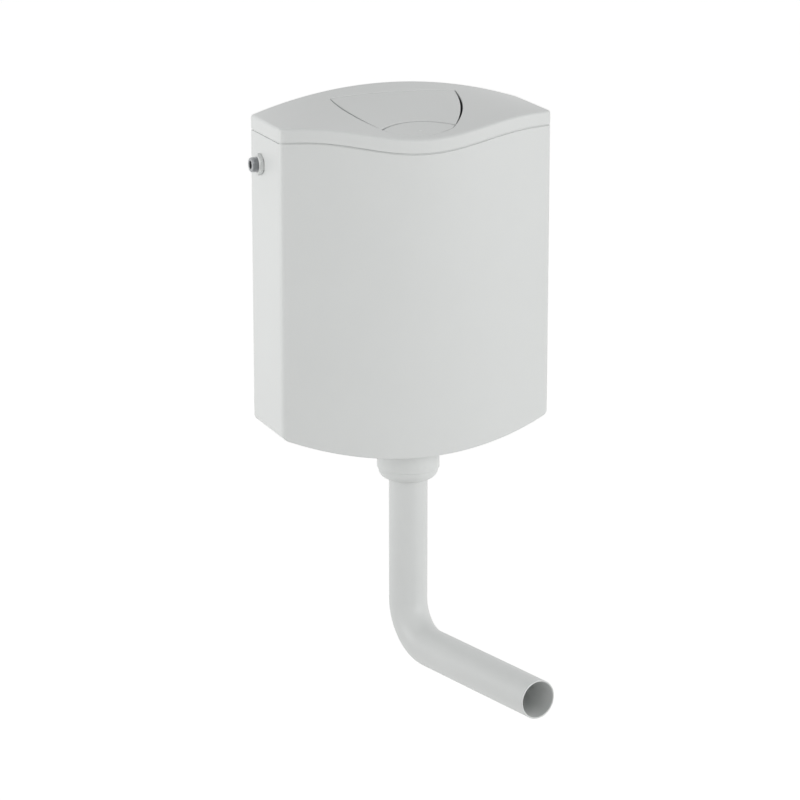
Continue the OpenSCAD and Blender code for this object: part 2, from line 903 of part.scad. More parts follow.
// Plug of the unused inlet hole on the right
module blanking_plug() {
    color("#e6e7e7")
    difference() {
        union() {
            rod_along_x(inlet_wall_x - plug_len, inlet_wall_x + nudge, plug_r, -inlet_y, inlet_z);
            rod_along_x(inlet_wall_x, inlet_wall_x + plug_flange_t, plug_flange_r, -inlet_y, inlet_z);
        }
        rod_along_x(inlet_wall_x - plug_len - nudge, inlet_wall_x - nudge, plug_bore, -inlet_y, inlet_z);
    }
}

module plug_washer() {
    wall_washer(inlet_wall_x - wall - washer_t, inlet_wall_x - wall, plug_r + fit_gap);
}

module plug_nut() {
    nut_x = inlet_wall_x - wall - washer_t - plug_nut_t;
    color("#e6e7e7")
    difference() {
        translate([nut_x, -inlet_y, inlet_z])
            rotate([0, 90, 0])
                cylinder(h = plug_nut_t, r = inlet_nut_w / 2, $fn = 6);
        rod_along_x(nut_x - nudge, nut_x + plug_nut_t + nudge, plug_r + fit_gap, -inlet_y, inlet_z);
    }
}

// Opening of the lid, moved in by gap
module button_opening(gap) {
    intersection() {
        between_sides(gap);
        translate([0, open_front_y])
            circle(open_front_r - gap);
        translate([-body_w / 2, -front_d])
            square([body_w, front_d - open_back - gap]);
    }
}

// The part of the plan between the two side arcs
module between_sides(gap) {
    intersection() {
        translate([-open_x, -open_back])
            circle(open_r - gap);
        translate([open_x, -open_back])
            circle(open_r - gap);
    }
}

// Full-flush button from above: its flatter sides leave a crescent gap
module full_button_outline() {
    mid_turn = asin((side_mid_y + open_back) / open_r);
    ends = [
        [open_half - side_end_gap, -open_back],
        [(open_r - side_gap) * cos(mid_turn) - open_x, (open_r - side_gap) * sin(mid_turn) - open_back],
        [side_corner - side_end_gap, corner_y]
    ];
    centre = circle_centre(ends[0], ends[1], ends[2]);
    radius = norm(ends[0] - centre);
    difference() {
        intersection() {
            translate(centre)
                circle(radius);
            translate([-centre.x, centre.y])
                circle(radius);
            button_opening(button_gap);
        }
        translate([0, -split_c])
            circle(split_r);
    }
}

// Part-flush button from above: a lens between the split arc and the opening's front
module half_button_outline() {
    intersection() {
        button_opening(button_gap);
        translate([0, -split_c])
            circle(split_r - split_gap);
    }
}

// Slice of a button's plan that follows the lid's saddle
module button_plate() {
    low = rim_z - rim_dip;
    intersection() {
        translate([0, 0, low])
            linear_extrude(rim_dip + lid_band + lid_arch + nudge)
                children();
        saddle_solid([[lid_edge_r, button_recess + button_t, false], [lid_edge_r, button_recess, false]]);
    }
}

// Moulded cover with its button opening, locating tabs and the bosses of the button frame
module lid() {
    round_steps = 3;
    tab_len = 30;
    tab_t = 2.5;
    tab_rise = 2;
    tab_x = body_w / 2 - wall - plate_gap - tab_t;
    skin = lid_wall / 2;
    color("#dfe1e0")
    difference() {
        union() {
            saddle_solid(concat(
                [[lid_wall, lid_wall, false], [lid_wall, 0, true], [0, 0, true]],
                [
                    for (k = [0 : round_steps])
                        let (turn = 90 * k / round_steps)
                        [lid_edge_r * (1 - cos(turn)), lid_edge_r * (1 - sin(turn)), false]
                ]
            ));
            for (side = [-1, 1])
                mirror([side < 0 ? 1 : 0, 0, 0]) {
                    translate([tab_x, -side_d / 2 - tab_len / 2, rim_z - tab_drop])
                        cube([tab_t, tab_len, tab_drop + lid_band / 2]);
                    translate([tab_x, -side_d / 2 - tab_len / 2, rim_z + tab_rise])
                        cube([body_w / 2 - skin - tab_x, tab_len, lid_band / 2 - tab_rise]);
                }
            for (x = [-boss_x, boss_x])
                for (y = [boss_back, boss_front])
                    translate([x, y, frame_top])
                        cylinder(h = lid_z(x, y) - skin - frame_top, r = boss_r);
        }
        translate([0, 0, rim_z - rim_dip])
            linear_extrude(tall)
                button_opening(0);
        for (x = [-boss_x, boss_x])
            for (y = [boss_back, boss_front])
                translate([x, y, frame_top - nudge])
                    cylinder(h = screw_bite + 2 * nudge, r = screw_r + fit_gap);
    }
}

// Frame under the lid that carries the buttons
module button_frame() {
    depth = frame_back - frame_front;
    tab_out = boss_x + boss_r + 1.5;
    color("#c9cdd0")
    difference() {
        union() {
            translate([-frame_out, frame_front, frame_low])
                cube([2 * frame_out, depth, frame_t]);
            for (y = [boss_back, boss_front])
                translate([-tab_out, y - boss_r - nudge / 2, frame_low])
                    cube([2 * tab_out, 2 * boss_r + nudge, frame_t]);
            translate([0, stem_y, frame_low])
                cylinder(h = sleeve_h, r = sleeve_r);
        }
        difference() {
            translate([-frame_in, frame_front + rail_w, frame_low - nudge])
                cube([2 * frame_in, depth - 2 * rail_w, frame_t + 2 * nudge]);
            translate([0, stem_y, frame_low - nudge])
                cylinder(h = sleeve_h + 2 * nudge, r = sleeve_r);
        }
        translate([0, stem_y, frame_low - nudge])
            cylinder(h = sleeve_h + 2 * nudge, r = stem_d / 2 + stem_fit);
        for (x = [-boss_x, boss_x])
            for (y = [boss_back, boss_front])
                translate([x, y, frame_low - nudge])
                    cylinder(h = frame_t + 2 * nudge, r = screw_r + run_gap);
    }
    color("#c9cdd0")
    for (side = [-1, 1])
        difference() {
            union() {
                translate([side * ear_x - ear_w / 2, hinge_y - ear_r, frame_low])
                    cube([ear_w, frame_back - hinge_y + ear_r, frame_t + 10]);
                translate([side * ear_x - ear_w / 2, hinge_y - ear_r, frame_low])
                    cube([ear_w, 2 * ear_r, hinge_z - frame_low]);
                rod_along_x(side * ear_x - ear_w / 2, side * ear_x + ear_w / 2, ear_r, hinge_y, hinge_z);
            }
            rod_along_x(side * ear_x - ear_w, side * ear_x + ear_w, hinge_d / 2 + fit_gap, hinge_y, hinge_z);
        }
}

// Screws that hold the frame to the lid's bosses
module frame_screws() {
    color("#b8babc")
    for (x = [-boss_x, boss_x])
        for (y = [boss_back, boss_front])
            translate([x, y, frame_low]) {
                translate([0, 0, -screw_head_h])
                    cylinder(h = screw_head_h, r = screw_head_r);
                cylinder(h = frame_t + screw_bite, r = screw_r);
            }
}

// Rod that the full-flush button turns on
module button_hinge_pin() {
    reach = ear_x + ear_w / 2 + 1;
    color("#b8babc")
    rod_along_x(-reach, reach, hinge_d / 2, hinge_y, hinge_z);
}

// Large rear button with its hinge lugs and the post that presses the lever
module full_flush_button() {
    plate_mid = button_recess + button_t / 2;
    lug_half = 3;
    lug_down = 0.6;
    post_low = lever_top + push_gap;
    color("#dfe1e0")
    difference() {
        union() {
            button_plate()
                full_button_outline();
            translate([push_x, push_y, post_low])
                cylinder(h = lid_z(push_x, push_y) - plate_mid - post_low, r = push_r);
            for (side = [-1, 1]) {
                rod_along_x(side * hinge_x - hinge_w / 2, side * hinge_x + hinge_w / 2, hinge_boss_r,
                    hinge_y, hinge_z);
                translate([side * hinge_x - hinge_w / 2, hinge_y - lug_half, hinge_z])
                    cube([hinge_w, 2 * lug_half, lid_z(hinge_x, hinge_y) - plate_mid - lug_down - hinge_z]);
            }
        }
        rod_along_x(-body_w / 2, body_w / 2, hinge_d / 2 + pin_gap, hinge_y, hinge_z);
    }
}

// Lens-shaped front button on its stem
module half_flush_button() {
    stem_low = lever_top + stem_gap;
    color("#dfe1e0")
    union() {
        button_plate()
            half_button_outline();
        translate([0, stem_y, stem_low])
            cylinder(h = lid_z(0, stem_y) - button_recess - button_t / 2 - stem_low, r = stem_d / 2);
    }
}

// Lever with a boss on its pin and a fork at its back end, drawn round its pin
module flush_lever(front) {
    difference() {
        union() {
            translate([-lever_w / 2, -front, -lever_h / 2])
                cube([lever_w, front + fork_root + nudge, lever_h]);
            translate([-fork_w / 2, fork_root, -lever_h / 2])
                cube([fork_w, fork_end - fork_root, lever_h]);
            rod_along_x(-lever_w / 2, lever_w / 2, lever_boss_r, 0, 0);
            children();
        }
        translate([-fork_slot / 2, fork_root + fork_tine, -lever_h])
            cube([fork_slot, fork_end, 2 * lever_h]);
        rod_along_x(-lever_x, lever_x, lever_pin_d / 2 + pin_gap, 0, 0);
    }
}

module full_flush_lever() {
    front = -push_y - pivot_y + 2 * push_r;
    pad_from = 11;
    pad_w = 2 * (push_x - lever_x + push_r) + 1;
    color("#d9a441")
    translate([lever_x, -pivot_y, pivot_z])
        flush_lever(front)
            translate([-lever_w / 2, -front, -lever_h / 2])
                cube([lever_w / 2 + pad_w / 2, front - pad_from, lever_h]);
}

module half_flush_lever() {
    paddle_d = 10;
    front = -stem_y - pivot_y + paddle_d / 2;
    color("#d9a441")
    translate([-lever_x, -pivot_y, pivot_z])
        flush_lever(front)
            translate([-lever_w / 2, -front, -lever_h / 2])
                cube([lever_x + lever_w / 2 + stem_d / 2, paddle_d, lever_h]);
}

// Overflow tube that lifts off the seat, with the flange that carries the seal
module overflow_tube() {
    color("#f0f1f0")
    translate([0, -outlet_y, 0])
        rotate_extrude()
            polygon([
                [tube_r - tube_wall, tube_low], [tube_r, tube_low], [tube_r, seal_top],
                [seal_r - 1, seal_top], [seal_r - 1, seal_top + carrier_t],
                [tube_r, seal_top + carrier_t], [tube_r, tube_top], [tube_r - tube_wall, tube_top]
            ]);
}

module valve_seal() {
    color("#2b2b2b")
    outlet_ring(seal_low, seal_top, seal_r, tube_r + fit_gap);
}

// Ring that holds the seal from below
module seal_clip() {
    color("#c9cdd0")
    outlet_ring(seal_low - clip_t, seal_low, clip_r, tube_r + fit_gap);
}

module valve_float() {
    color("#d9a441")
    translate([0, -outlet_y, float_low])
        open_float(float_len, float_r, tube_r + fit_gap, float_wall);
}

// Collar on the overflow tube with the arm that the full-flush rod pulls
module lift_arm() {
    color("#3f6fa8")
    translate([0, -outlet_y, lift_arm_z])
        linear_extrude(lift_arm_h)
            difference() {
                union() {
                    circle(tube_r + collar_w);
                    rotate([0, 0, rod_angle])
                        translate([0, -lift_arm_w / 2])
                            square([rod_reach, lift_arm_w]);
                    translate([lever_x, rod_y + outlet_y])
                        circle(lift_eye_r);
                }
                circle(tube_r + fit_gap);
                translate([lever_x, rod_y + outlet_y])
                    circle(rod_d / 2 + fit_gap);
            }
}

// Lift rod with a ball above the lever's fork and a button end below
module lift_rod(x, low) {
    translate([x, rod_y, 0]) {
        translate([0, 0, low])
            cylinder(h = ball_z - low, r = rod_d / 2);
        translate([0, 0, ball_z])
            sphere(ball_r);
        translate([0, 0, low - rod_foot_h])
            cylinder(h = rod_foot_h, r = rod_foot_r);
    }
}

module full_lift_rod() {
    color("#b8babc")
    lift_rod(lever_x, lift_arm_z);
}

module half_lift_rod() {
    color("#b8babc")
    lift_rod(-lever_x, half_float_top - half_float_h);
}

module half_flush_float() {
    color("#d9a441")
    translate([-lever_x, rod_y, half_float_top - half_float_h])
        open_float(half_float_h, half_float_r, rod_d / 2 + fit_gap, float_wall);
}

// Float of the fill valve, with a lug for the link
module float_cup() {
    color("#d9a441")
    difference() {
        union() {
            translate([-column_x, -inlet_y, cup_low])
                open_float(cup_h, cup_r, cup_sleeve_r, cup_wall);
            translate([-column_x + cup_r - cup_wall, -inlet_y - arm_w / 2, cup_top - cup_lug_t])
                cube([link_x + column_x - cup_r + cup_wall + arm_w / 2, arm_w, cup_lug_t]);
        }
        translate([link_x, -inlet_y, cup_top - cup_lug_t - nudge])
            cylinder(h = cup_lug_t + 2 * nudge, r = rod_d / 2 + fit_gap);
    }
}

// Link from the float to its arm, with a ball on each side of the arm
module float_link() {
    color("#b8babc")
    translate([link_x, -inlet_y, 0]) {
        translate([0, 0, cup_top - cup_lug_t])
            cylinder(h = link_ball_high - cup_top + cup_lug_t, r = rod_d / 2);
        translate([0, 0, cup_top - cup_lug_t - rod_foot_h])
            cylinder(h = rod_foot_h, r = rod_foot_r);
        for (z = [link_ball_low, link_ball_high])
            translate([0, 0, z])
                sphere(ball_r);
    }
}

// Arm between the float's link and the pilot nozzle
module float_arm() {
    end_w = link_slot + 2 * fork_tine;
    slot_back = arm_link - 3.6;
    color("#f0f1f0")
    difference() {
        union() {
            translate([arm_pivot_x - arm_short, -inlet_y - arm_w / 2, arm_z - arm_h / 2])
                cube([arm_short + slot_back, arm_w, arm_h]);
            translate([arm_pivot_x + slot_back - fork_tine, -inlet_y - end_w / 2, arm_z - arm_h / 2])
                cube([arm_end - slot_back + fork_tine, end_w, arm_h]);
            rod_along_y(-inlet_y - arm_w / 2, -inlet_y + arm_w / 2, arm_boss_r, arm_pivot_x, arm_z);
        }
        translate([arm_pivot_x + slot_back, -inlet_y - link_slot / 2, arm_z - arm_h])
            cube([arm_end, link_slot, 2 * arm_h]);
        rod_along_y(-inlet_y - arm_w, -inlet_y + arm_w, arm_pin_r + pin_gap, arm_pivot_x, arm_z);
    }
}

// Rubber pad that closes the pilot nozzle
module arm_pad() {
    color("#2b2b2b")
    translate([-column_x, -inlet_y, arm_z - arm_h / 2 - pad_t])
        cylinder(h = pad_t, r = pad_rubber_r);
}

// Flush pipe: an upright leg, a bend and a level leg
module flush_pipe() {
    module section() {
        difference() {
            circle(pipe_r);
            circle(pipe_in);
        }
    }
    color("#dfe1e0")
    translate([0, -outlet_y, 0])
        rotate([0, 0, pipe_turn]) {
            translate([0, 0, bend_top])
                linear_extrude(pipe_top - bend_top)
                    section();
            translate([0, -bend_r, bend_top])
                rotate([0, -90, 0])
                    rotate([0, 0, 90])
                        rotate_extrude(angle = 90)
                            translate([bend_r, 0])
                                section();
            translate([0, -bend_r, leg_z])
                rotate([90, 0, 0])
                    linear_extrude(leg_len)
                        section();
        }
}

tank();
condensation_liner();
outlet_gasket();
outlet_socket();
outlet_locknut();
union_nut();
pipe_seal();
valve_housing();
lever_bridge();
lever_pins();
inlet_shank();
inlet_nut();
inlet_washer();
fill_valve_body();
fill_diaphragm();
fill_valve_cap();
float_arm_pin();
fill_downpipe();
blanking_plug();
plug_washer();
plug_nut();
lid();
button_frame();
frame_screws();
button_hinge_pin();
full_flush_button();
half_flush_button();
full_flush_lever();
half_flush_lever();
overflow_tube();
valve_seal();
seal_clip();
valve_float();
lift_arm();
full_lift_rod();
half_lift_rod();
half_flush_float();
float_cup();
float_link();
float_arm();
arm_pad();
flush_pipe();
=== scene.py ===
"""Looks of a wall-hung toilet cistern: tank, saddle lid, two flush buttons, side inlet and flush bend."""

import json
import math

import bmesh
import bpy
from bpy.props import FloatProperty, FloatVectorProperty, IntProperty, PointerProperty
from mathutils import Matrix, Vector

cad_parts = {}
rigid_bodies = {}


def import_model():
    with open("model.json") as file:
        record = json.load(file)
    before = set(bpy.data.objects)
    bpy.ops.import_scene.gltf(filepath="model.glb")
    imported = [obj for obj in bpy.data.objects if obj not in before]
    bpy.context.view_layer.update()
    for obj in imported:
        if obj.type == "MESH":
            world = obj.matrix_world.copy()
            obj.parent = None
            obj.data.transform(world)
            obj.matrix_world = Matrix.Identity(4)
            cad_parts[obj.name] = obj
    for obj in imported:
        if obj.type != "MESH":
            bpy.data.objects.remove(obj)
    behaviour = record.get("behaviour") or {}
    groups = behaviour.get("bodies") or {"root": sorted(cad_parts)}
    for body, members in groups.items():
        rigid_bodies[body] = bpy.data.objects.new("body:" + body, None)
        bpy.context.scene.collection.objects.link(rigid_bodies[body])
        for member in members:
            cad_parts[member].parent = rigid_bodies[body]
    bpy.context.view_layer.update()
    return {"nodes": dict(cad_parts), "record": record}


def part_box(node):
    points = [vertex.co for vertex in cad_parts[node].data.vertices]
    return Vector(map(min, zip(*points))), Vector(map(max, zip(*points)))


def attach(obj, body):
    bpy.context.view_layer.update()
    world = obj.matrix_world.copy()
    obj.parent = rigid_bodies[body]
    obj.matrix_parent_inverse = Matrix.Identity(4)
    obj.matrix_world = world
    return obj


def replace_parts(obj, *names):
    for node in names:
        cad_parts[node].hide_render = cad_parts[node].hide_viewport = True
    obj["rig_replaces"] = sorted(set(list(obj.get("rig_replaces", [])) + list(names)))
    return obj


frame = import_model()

bl_info = {
    "name": "Wall-hung cistern",
    "version": (1, 0, 0),
    "blender": (4, 5, 0),
    "location": "3D View > Sidebar > Cistern",
    "description": "Dresses the packed frame of a wall-hung toilet cistern",
    "category": "Object",
}

# Lengths are in metres, and MM turns millimetres into them
MM = 0.001

# Edges that bend more than this stay sharp
SHARP_ANGLE = math.radians(32)
# Radius of the small edges of moulded and turned pieces
FINE_R = 0.4 * MM
# Points of a plan: the widest step between two of them, and the least number of steps along a side
PLAN_STEP = math.radians(2.4)
PLAN_LEAST = 8
# Shares of the way out from a button's middle at which its plate has its smallest rings
HUB_SHARES = [0.01, 0.03]

# What the frame says of the pieces that are dressed here
TANK_LOW, TANK_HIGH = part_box("tank")
SOCKET_LOW, SOCKET_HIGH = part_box("outlet_socket")
UNION_LOW, UNION_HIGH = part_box("union_nut")
LOCKNUT_LOW, LOCKNUT_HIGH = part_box("outlet_locknut")
PIPE_LOW, PIPE_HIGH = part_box("flush_pipe")
SHANK_LOW, SHANK_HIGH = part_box("inlet_shank")
INLET_NUT_LOW, INLET_NUT_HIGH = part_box("inlet_nut")
PLUG_LOW, PLUG_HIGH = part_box("blanking_plug")
FULL_BUTTON_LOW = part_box("full_flush_button")[0]
HALF_BUTTON_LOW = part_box("half_flush_button")[0]
SCREWS_LOW, SCREWS_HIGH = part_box("frame_screws")
SLOT_OF_NODE = {part["node"]: part["material_slot"] for part in frame["record"]["subparts"]}
# The y and the z of the inlet's axis, which runs along x
INLET_AXIS = ((SHANK_LOW.y + SHANK_HIGH.y) / 2, (SHANK_LOW.z + SHANK_HIGH.z) / 2)


def linear(hex_code):
    """An sRGB hex colour as linear red, green, blue and alpha."""
    parts = [int(hex_code[k:k + 2], 16) / 255 for k in (1, 3, 5)]
    return [c / 12.92 if c <= 0.04045 else ((c + 0.055) / 1.055) ** 2.4 for c in parts] + [1.0]


def size(name, description, default):
    """A length in the panel."""
    return FloatProperty(name=name, description=description, default=default, unit="LENGTH", precision=4)


def amount(name, description, default, unit="NONE"):
    """A strength, a power or another plain number in the panel."""
    return FloatProperty(name=name, description=description, default=default, unit=unit)


def turn(name, description, degrees):
    """An angle in the panel."""
    return amount(name, description, math.radians(degrees), "ROTATION")


def colour(name, description, hex_code):
    """A colour in the panel, written as sRGB hex."""
    return FloatVectorProperty(
        name=name, description=description, default=linear(hex_code), size=4, min=0, max=1, subtype="COLOR"
    )


class TankSizes(bpy.types.PropertyGroup):
    """Sizes of the moulded tank."""

    width: size("Width", "Outer width", TANK_HIGH.x - TANK_LOW.x)
    depth: size("Depth", "From the wall to the middle of the front", -TANK_LOW.y)
    front_bow: size("Front bow", "How far the front bows out past the side panels", 25 * MM)
    rim: size("Rim", "Height of the rim above the wall fixings", TANK_HIGH.z)
    sag: size("Sag", "How far the underside sags below the bottom corners", 30 * MM)
    wall: size("Wall", "Wall thickness", 3 * MM)
    edge_r: size("Front edge radius", "Radius of the two upright front edges", 8 * MM)
    back_r: size("Back edge radius", "Radius of the two upright back edges", 1.6 * MM)
    corner_r: size("Bottom corner radius", "Radius of the two lower side corners", 10 * MM)
    foot_r: size("Foot radius", "Radius between the front and the underside", 1.0 * MM)
    rim_dip: size("Rim dip", "How far the rim dips at the middle of the front", 18 * MM)
    dip_half: size("Half dip", "Half the length of that dip", 139 * MM)
    step_h: size("Seam height", "Height of the step in the rim that shows as a seam", 1.2 * MM)
    step_w: size("Seam width", "Width of that step", 1.4 * MM)
    outlet_y: size("Outlet", "From the wall to the outlet", -(SOCKET_LOW.y + SOCKET_HIGH.y) / 2)
    pad_r: size("Pad radius", "Radius of the pad round the outlet", 43 * MM)
    pad_t: size("Pad height", "Thickness of that pad", 8.5 * MM)
    pad_below: size("Pad drop", "How far the pad stands below the underside", 1.5 * MM)
    outlet_r: size("Outlet radius", "Radius of the outlet hole", 29.6 * MM)
    inlet_hole_r: size("Inlet hole radius", "Radius of the two inlet holes", 8.63 * MM)
    fixing_gap: size("Fixing spacing", "Distance between the two wall fixing holes", 180 * MM)
    fixing_d: size("Fixing hole", "Diameter of the wall fixing holes", 8 * MM)
    boss_r: size("Fixing boss radius", "Radius of the thicker wall round a fixing hole", 9 * MM)


class LidSizes(bpy.types.PropertyGroup):
    """Sizes of the lid and its button opening."""

    band: size("Band", "Height of the lid's side band", 15.4 * MM)
    arch: size("Arch", "How far the back edge arches up", 27.5 * MM)
    wall: size("Wall", "Wall thickness", 2.8 * MM)
    edge_r: size("Edge radius", "Radius of the lid's top edge", 3 * MM)
    seam_gap: size("Seam gap", "Gap between the lid's skirt and the rim", 0.3 * MM)
    centre_y: size("Centre", "Distance of the opening's middle from the wall", 60 * MM)
    side_r: size("Side radius", "Radius of the opening's side arcs", 116 * MM)
    half: size("Half width", "Half the opening's width at its back edge", 75 * MM)
    back: size("Back edge", "Distance of the opening's back edge from the wall", 21 * MM)
    front_r: size("Front radius", "Radius of the opening's front arc", 90 * MM)
    front: size("Front tip", "Distance of the opening's front tip from the wall", 114 * MM)
    boss_x: size("Boss, across", "Distance of the button frame's bosses from the middle", 82 * MM)
    boss_low: size("Boss foot", "Height of the bosses' lower ends above the wall fixings", 19 * MM)
    boss_r: size("Boss radius", "Radius of the bosses that carry the button frame", 4.5 * MM)
    boss_bore: size("Boss bore", "Radius of the screw holes in the bosses", 1.55 * MM)
    tab_drop: size("Tab drop", "Depth of the locating tabs below the rim", 8 * MM)
    tab_len: size("Tab length", "Length of the locating tabs", 30 * MM)
    tab_t: size("Tab thickness", "Thickness of the locating tabs", 2.5 * MM)


class ButtonSizes(bpy.types.PropertyGroup):
    """Sizes of the two flush buttons."""

    gap: size("Gap", "Gap round the buttons", 0.8 * MM)
    back_gap: size("Back gap", "Gap behind the full-flush button, at its hinge", 0.4 * MM)
    split_gap: size("Split gap", "Gap between the two buttons", 2.2 * MM)
    side_gap: size("Side gap", "Gap at the middle of the full-flush button's sides", 2.6 * MM)
    end_gap: size("End gap", "Gap at the ends of those sides", 1 * MM)
    split_r: size("Split radius", "Radius of the arc between the two buttons", 66 * MM)
    split_y: size("Split", "Distance of the top of that arc from the wall", 82 * MM)
    corner_y: size("Front corner", "Distance of the opening's front corners from the wall", 100 * MM)
    recess: size("Recess", "How far the buttons lie below the lid's surface", 0.4 * MM)
    thick: size("Thickness", "Thickness of the buttons", 2.6 * MM)
    edge_r: size("Edge radius", "Radius of the buttons' upper edges", 0.9 * MM)
    hinge_x: size("Lug distance", "Distance of the hinge lugs from the middle", 44 * MM)
    hinge_y: size("Hinge", "Distance of the hinge from the wall", 24 * MM)
    hinge_low: size("Hinge depth", "Depth of the hinge below the lid's surface", 8.3 * MM)
    hinge_bore: size("Hinge bore", "Radius of the bore in the lugs", 1.58 * MM)
    lug_r: size("Lug radius", "Outer radius of the hinge lugs", 4 * MM)
    lug_w: size("Lug width", "Width of the hinge lugs", 6 * MM)
    post_x: size("Post, across", "Distance of the full-flush post from the middle", 32 * MM)
    post_y: size("Post, out", "Distance of the full-flush post from the wall", 85 * MM)
    post_r: size("Post radius", "Radius of the full-flush post", 2.8 * MM)
    stem_y: size("Stem, out", "Distance of the part-flush stem from the wall", 98 * MM)
    stem_r: size("Stem radius", "Radius of the part-flush stem", 5 * MM)


class PipeSizes(bpy.types.PropertyGroup):
    """Sizes of the flush bend and of the nuts at the outlet."""

    diameter: size("Diameter", "Outer diameter of the flush pipe", 44 * MM)
    wall: size("Wall", "Wall thickness of the flush pipe", 1.8 * MM)
    bend_r: size("Bend radius", "Radius of the bend at the pipe's axis", 48 * MM)
    reach: size("Reach", "Length of the level leg from the upright leg's axis", 252 * MM)
    swing: turn("Swing", "Turn of the level leg to the right of straight ahead", 12.7)
    bead_h: size("Bead height", "Height of the union nut's upper bead", 13.6 * MM)
    bead_t: size("Bead step", "How far that bead stands out", 1.3 * MM)
    nut_bore: size("Nut bore", "Radius of the nuts' threaded bores", 29.3 * MM)
    shoulder_up: size("Shoulder rise", "Height of the shoulder's end above the nut's drawn foot", 4.5 * MM)
    skirt_gap: size("Skirt gap", "Gap between the union nut's skirt and the lock nut it hides", 0.5 * MM)
    pipe_gap: size("Pipe gap", "Gap between the pipe and the union nut", 0.35 * MM)
    seal_h: size("Seal room", "Height of the union nut's thread and seal above its shoulder", 23 * MM)
    locknut_sides: IntProperty(name="Lock nut sides", description="Flats on the lock nut", default=12)


class InletSizes(bpy.types.PropertyGroup):
    """Sizes of the water inlet and of the blanking plug."""

    thread_d: size("Thread diameter", "Outer diameter of the inlet thread", 16.66 * MM)
    pitch: size("Thread pitch", "Pitch of the inlet thread, 19 turns to the inch", 1.337 * MM)
    thread_depth: size("Thread depth", "Depth of the inlet thread", 0.86 * MM)
    bore: size("Bore", "Diameter of the inlet's bore", 9 * MM)
    end_cut: size("End cut", "How far the thread's end is turned back", 1.5 * MM)
    nut_proud: size("Nut face", "How far the nut's outer face stands past its drawn one", 1.6 * MM)
    flange_t: size("Flange", "Thickness of the flange inside the tank", 3 * MM)
    washer_t: size("Washer", "Thickness of the washer between the flange and the wall", 2 * MM)
    flange_r: size("Flange radius", "Radius of the flange inside the tank", 12.93 * MM)
    spigot_r: size("Spigot radius", "Radius of the spigot in the fill valve", 6.53 * MM)
    nut_gap: size("Nut gap", "Gap between the thread and the nut", 0.05 * MM)
    plug_flange_t: size("Plug flange", "Thickness of the blanking plug's flange", 2.8 * MM)
    plug_r: size("Plug radius", "Radius of the blanking plug's shaft", 8.23 * MM)
    plug_bore: size("Plug bore", "Radius of the hollow in that shaft", 5 * MM)


class Finishes(bpy.types.PropertyGroup):
    """Colours of the materials."""

    tank: colour("Tank and lid", "Moulded ABS of the tank, the lid and the buttons", "#DEE0DF")
    pipe: colour("Pipe", "Extruded polyethylene of the flush bend", "#DCDEDD")
    nut: colour("Nuts", "Moulded polypropylene of the nuts and the plug", "#DFE1E0")
    liner: colour("Liner", "Expanded polystyrene of the condensation liner", "#F0F0EC")
    rubber: colour("Rubber", "EPDM rubber of the seals", "#232425")
    valve: colour("Valve", "Moulded ABS of the flush and fill valves", "#CFD3D6")
    bridge: colour("Bridge", "Moulded polypropylene of the lever bridge and the caps", "#3F6A9E")
    lever: colour("Levers", "Moulded acetal of the levers and the float arm", "#E4E4DE")
    float_skin: colour("Floats", "Moulded polypropylene of the floats", "#D58A3A")
    steel: colour("Steel", "Drawn stainless steel of pins, rods and screws", "#B9BBBD")
    brass: colour("Inlet", "Nickel plate on the brass inlet", "#A8AAAC")
    floor: colour("Floor", "Painted studio floor", "#F4F4F3")


class StageSizes(bpy.types.PropertyGroup):
    """Sizes and levels of the floor, the lights and the camera."""

    floor_z: size("Floor", "Height of the floor below the wall fixings", -900 * MM)
    floor_half: size("Floor half width", "Half the width of the floor", 16)
    camera_x: size("Camera, across", "Place of the camera to the right", -1.3239)
    camera_y: size("Camera, out", "Place of the camera in front of the wall", -3.4432)
    camera_z: size("Camera, up", "Height of the camera", 0.6946)
    camera_pitch: turn("Camera pitch", "Tilt of the camera from straight down", 74.968)
    camera_yaw: turn("Camera yaw", "Turn of the camera about the upright", -21.276)
    lens: amount("Lens", "Focal length in millimetres", 150)
    ambient: amount("Ambient", "Strength of the even light from the horizon and below", 0.69)
    overhead: amount("Overhead", "Strength of that light from straight overhead", 0.48)
    left_watts: amount("Left light", "Power of the left light", 1.3, "POWER")
    right_watts: amount("Right light", "Power of the right light", 25, "POWER")
    floor_glow: amount("Floor glow", "White that the camera sees in the floor", 0.48)


class CisternSettings(bpy.types.PropertyGroup):
    """All the settings of the cistern."""

    tank: PointerProperty(type=TankSizes)
    lid: PointerProperty(type=LidSizes)
    buttons: PointerProperty(type=ButtonSizes)
    pipe: PointerProperty(type=PipeSizes)
    inlet: PointerProperty(type=InletSizes)
    finishes: PointerProperty(type=Finishes)
    stage: PointerProperty(type=StageSizes)


# Outlines seen from above. An outline is a list of sides and a list of rounded corners. A side is
# ("flat", x, y, d) for a straight side with its outward normal, ("inside", x, y, r) for an arc that the
# outline lies within, or ("outside", x, y, r) for an arc that it lies beyond. A corner is its arc's
# centre and radius, with the two directions that the arc runs between.


def arc_radius(chord, rise):
    """Radius of the arc over a chord with the given rise."""
    return (chord * chord / 4 + rise * rise) / (2 * rise)


def circle_through(a, b, c):
    """Centre and radius of the circle through three points."""
    d = 2 * (a[0] * (b[1] - c[1]) + b[0] * (c[1] - a[1]) + c[0] * (a[1] - b[1]))
    squares = [p[0] * p[0] + p[1] * p[1] for p in (a, b, c)]
    x = (squares[0] * (b[1] - c[1]) + squares[1] * (c[1] - a[1]) + squares[2] * (a[1] - b[1])) / d
    y = (squares[0] * (c[0] - b[0]) + squares[1] * (a[0] - c[0]) + squares[2] * (b[0] - a[0])) / d
    return x, y, math.hypot(a[0] - x, a[1] - y)


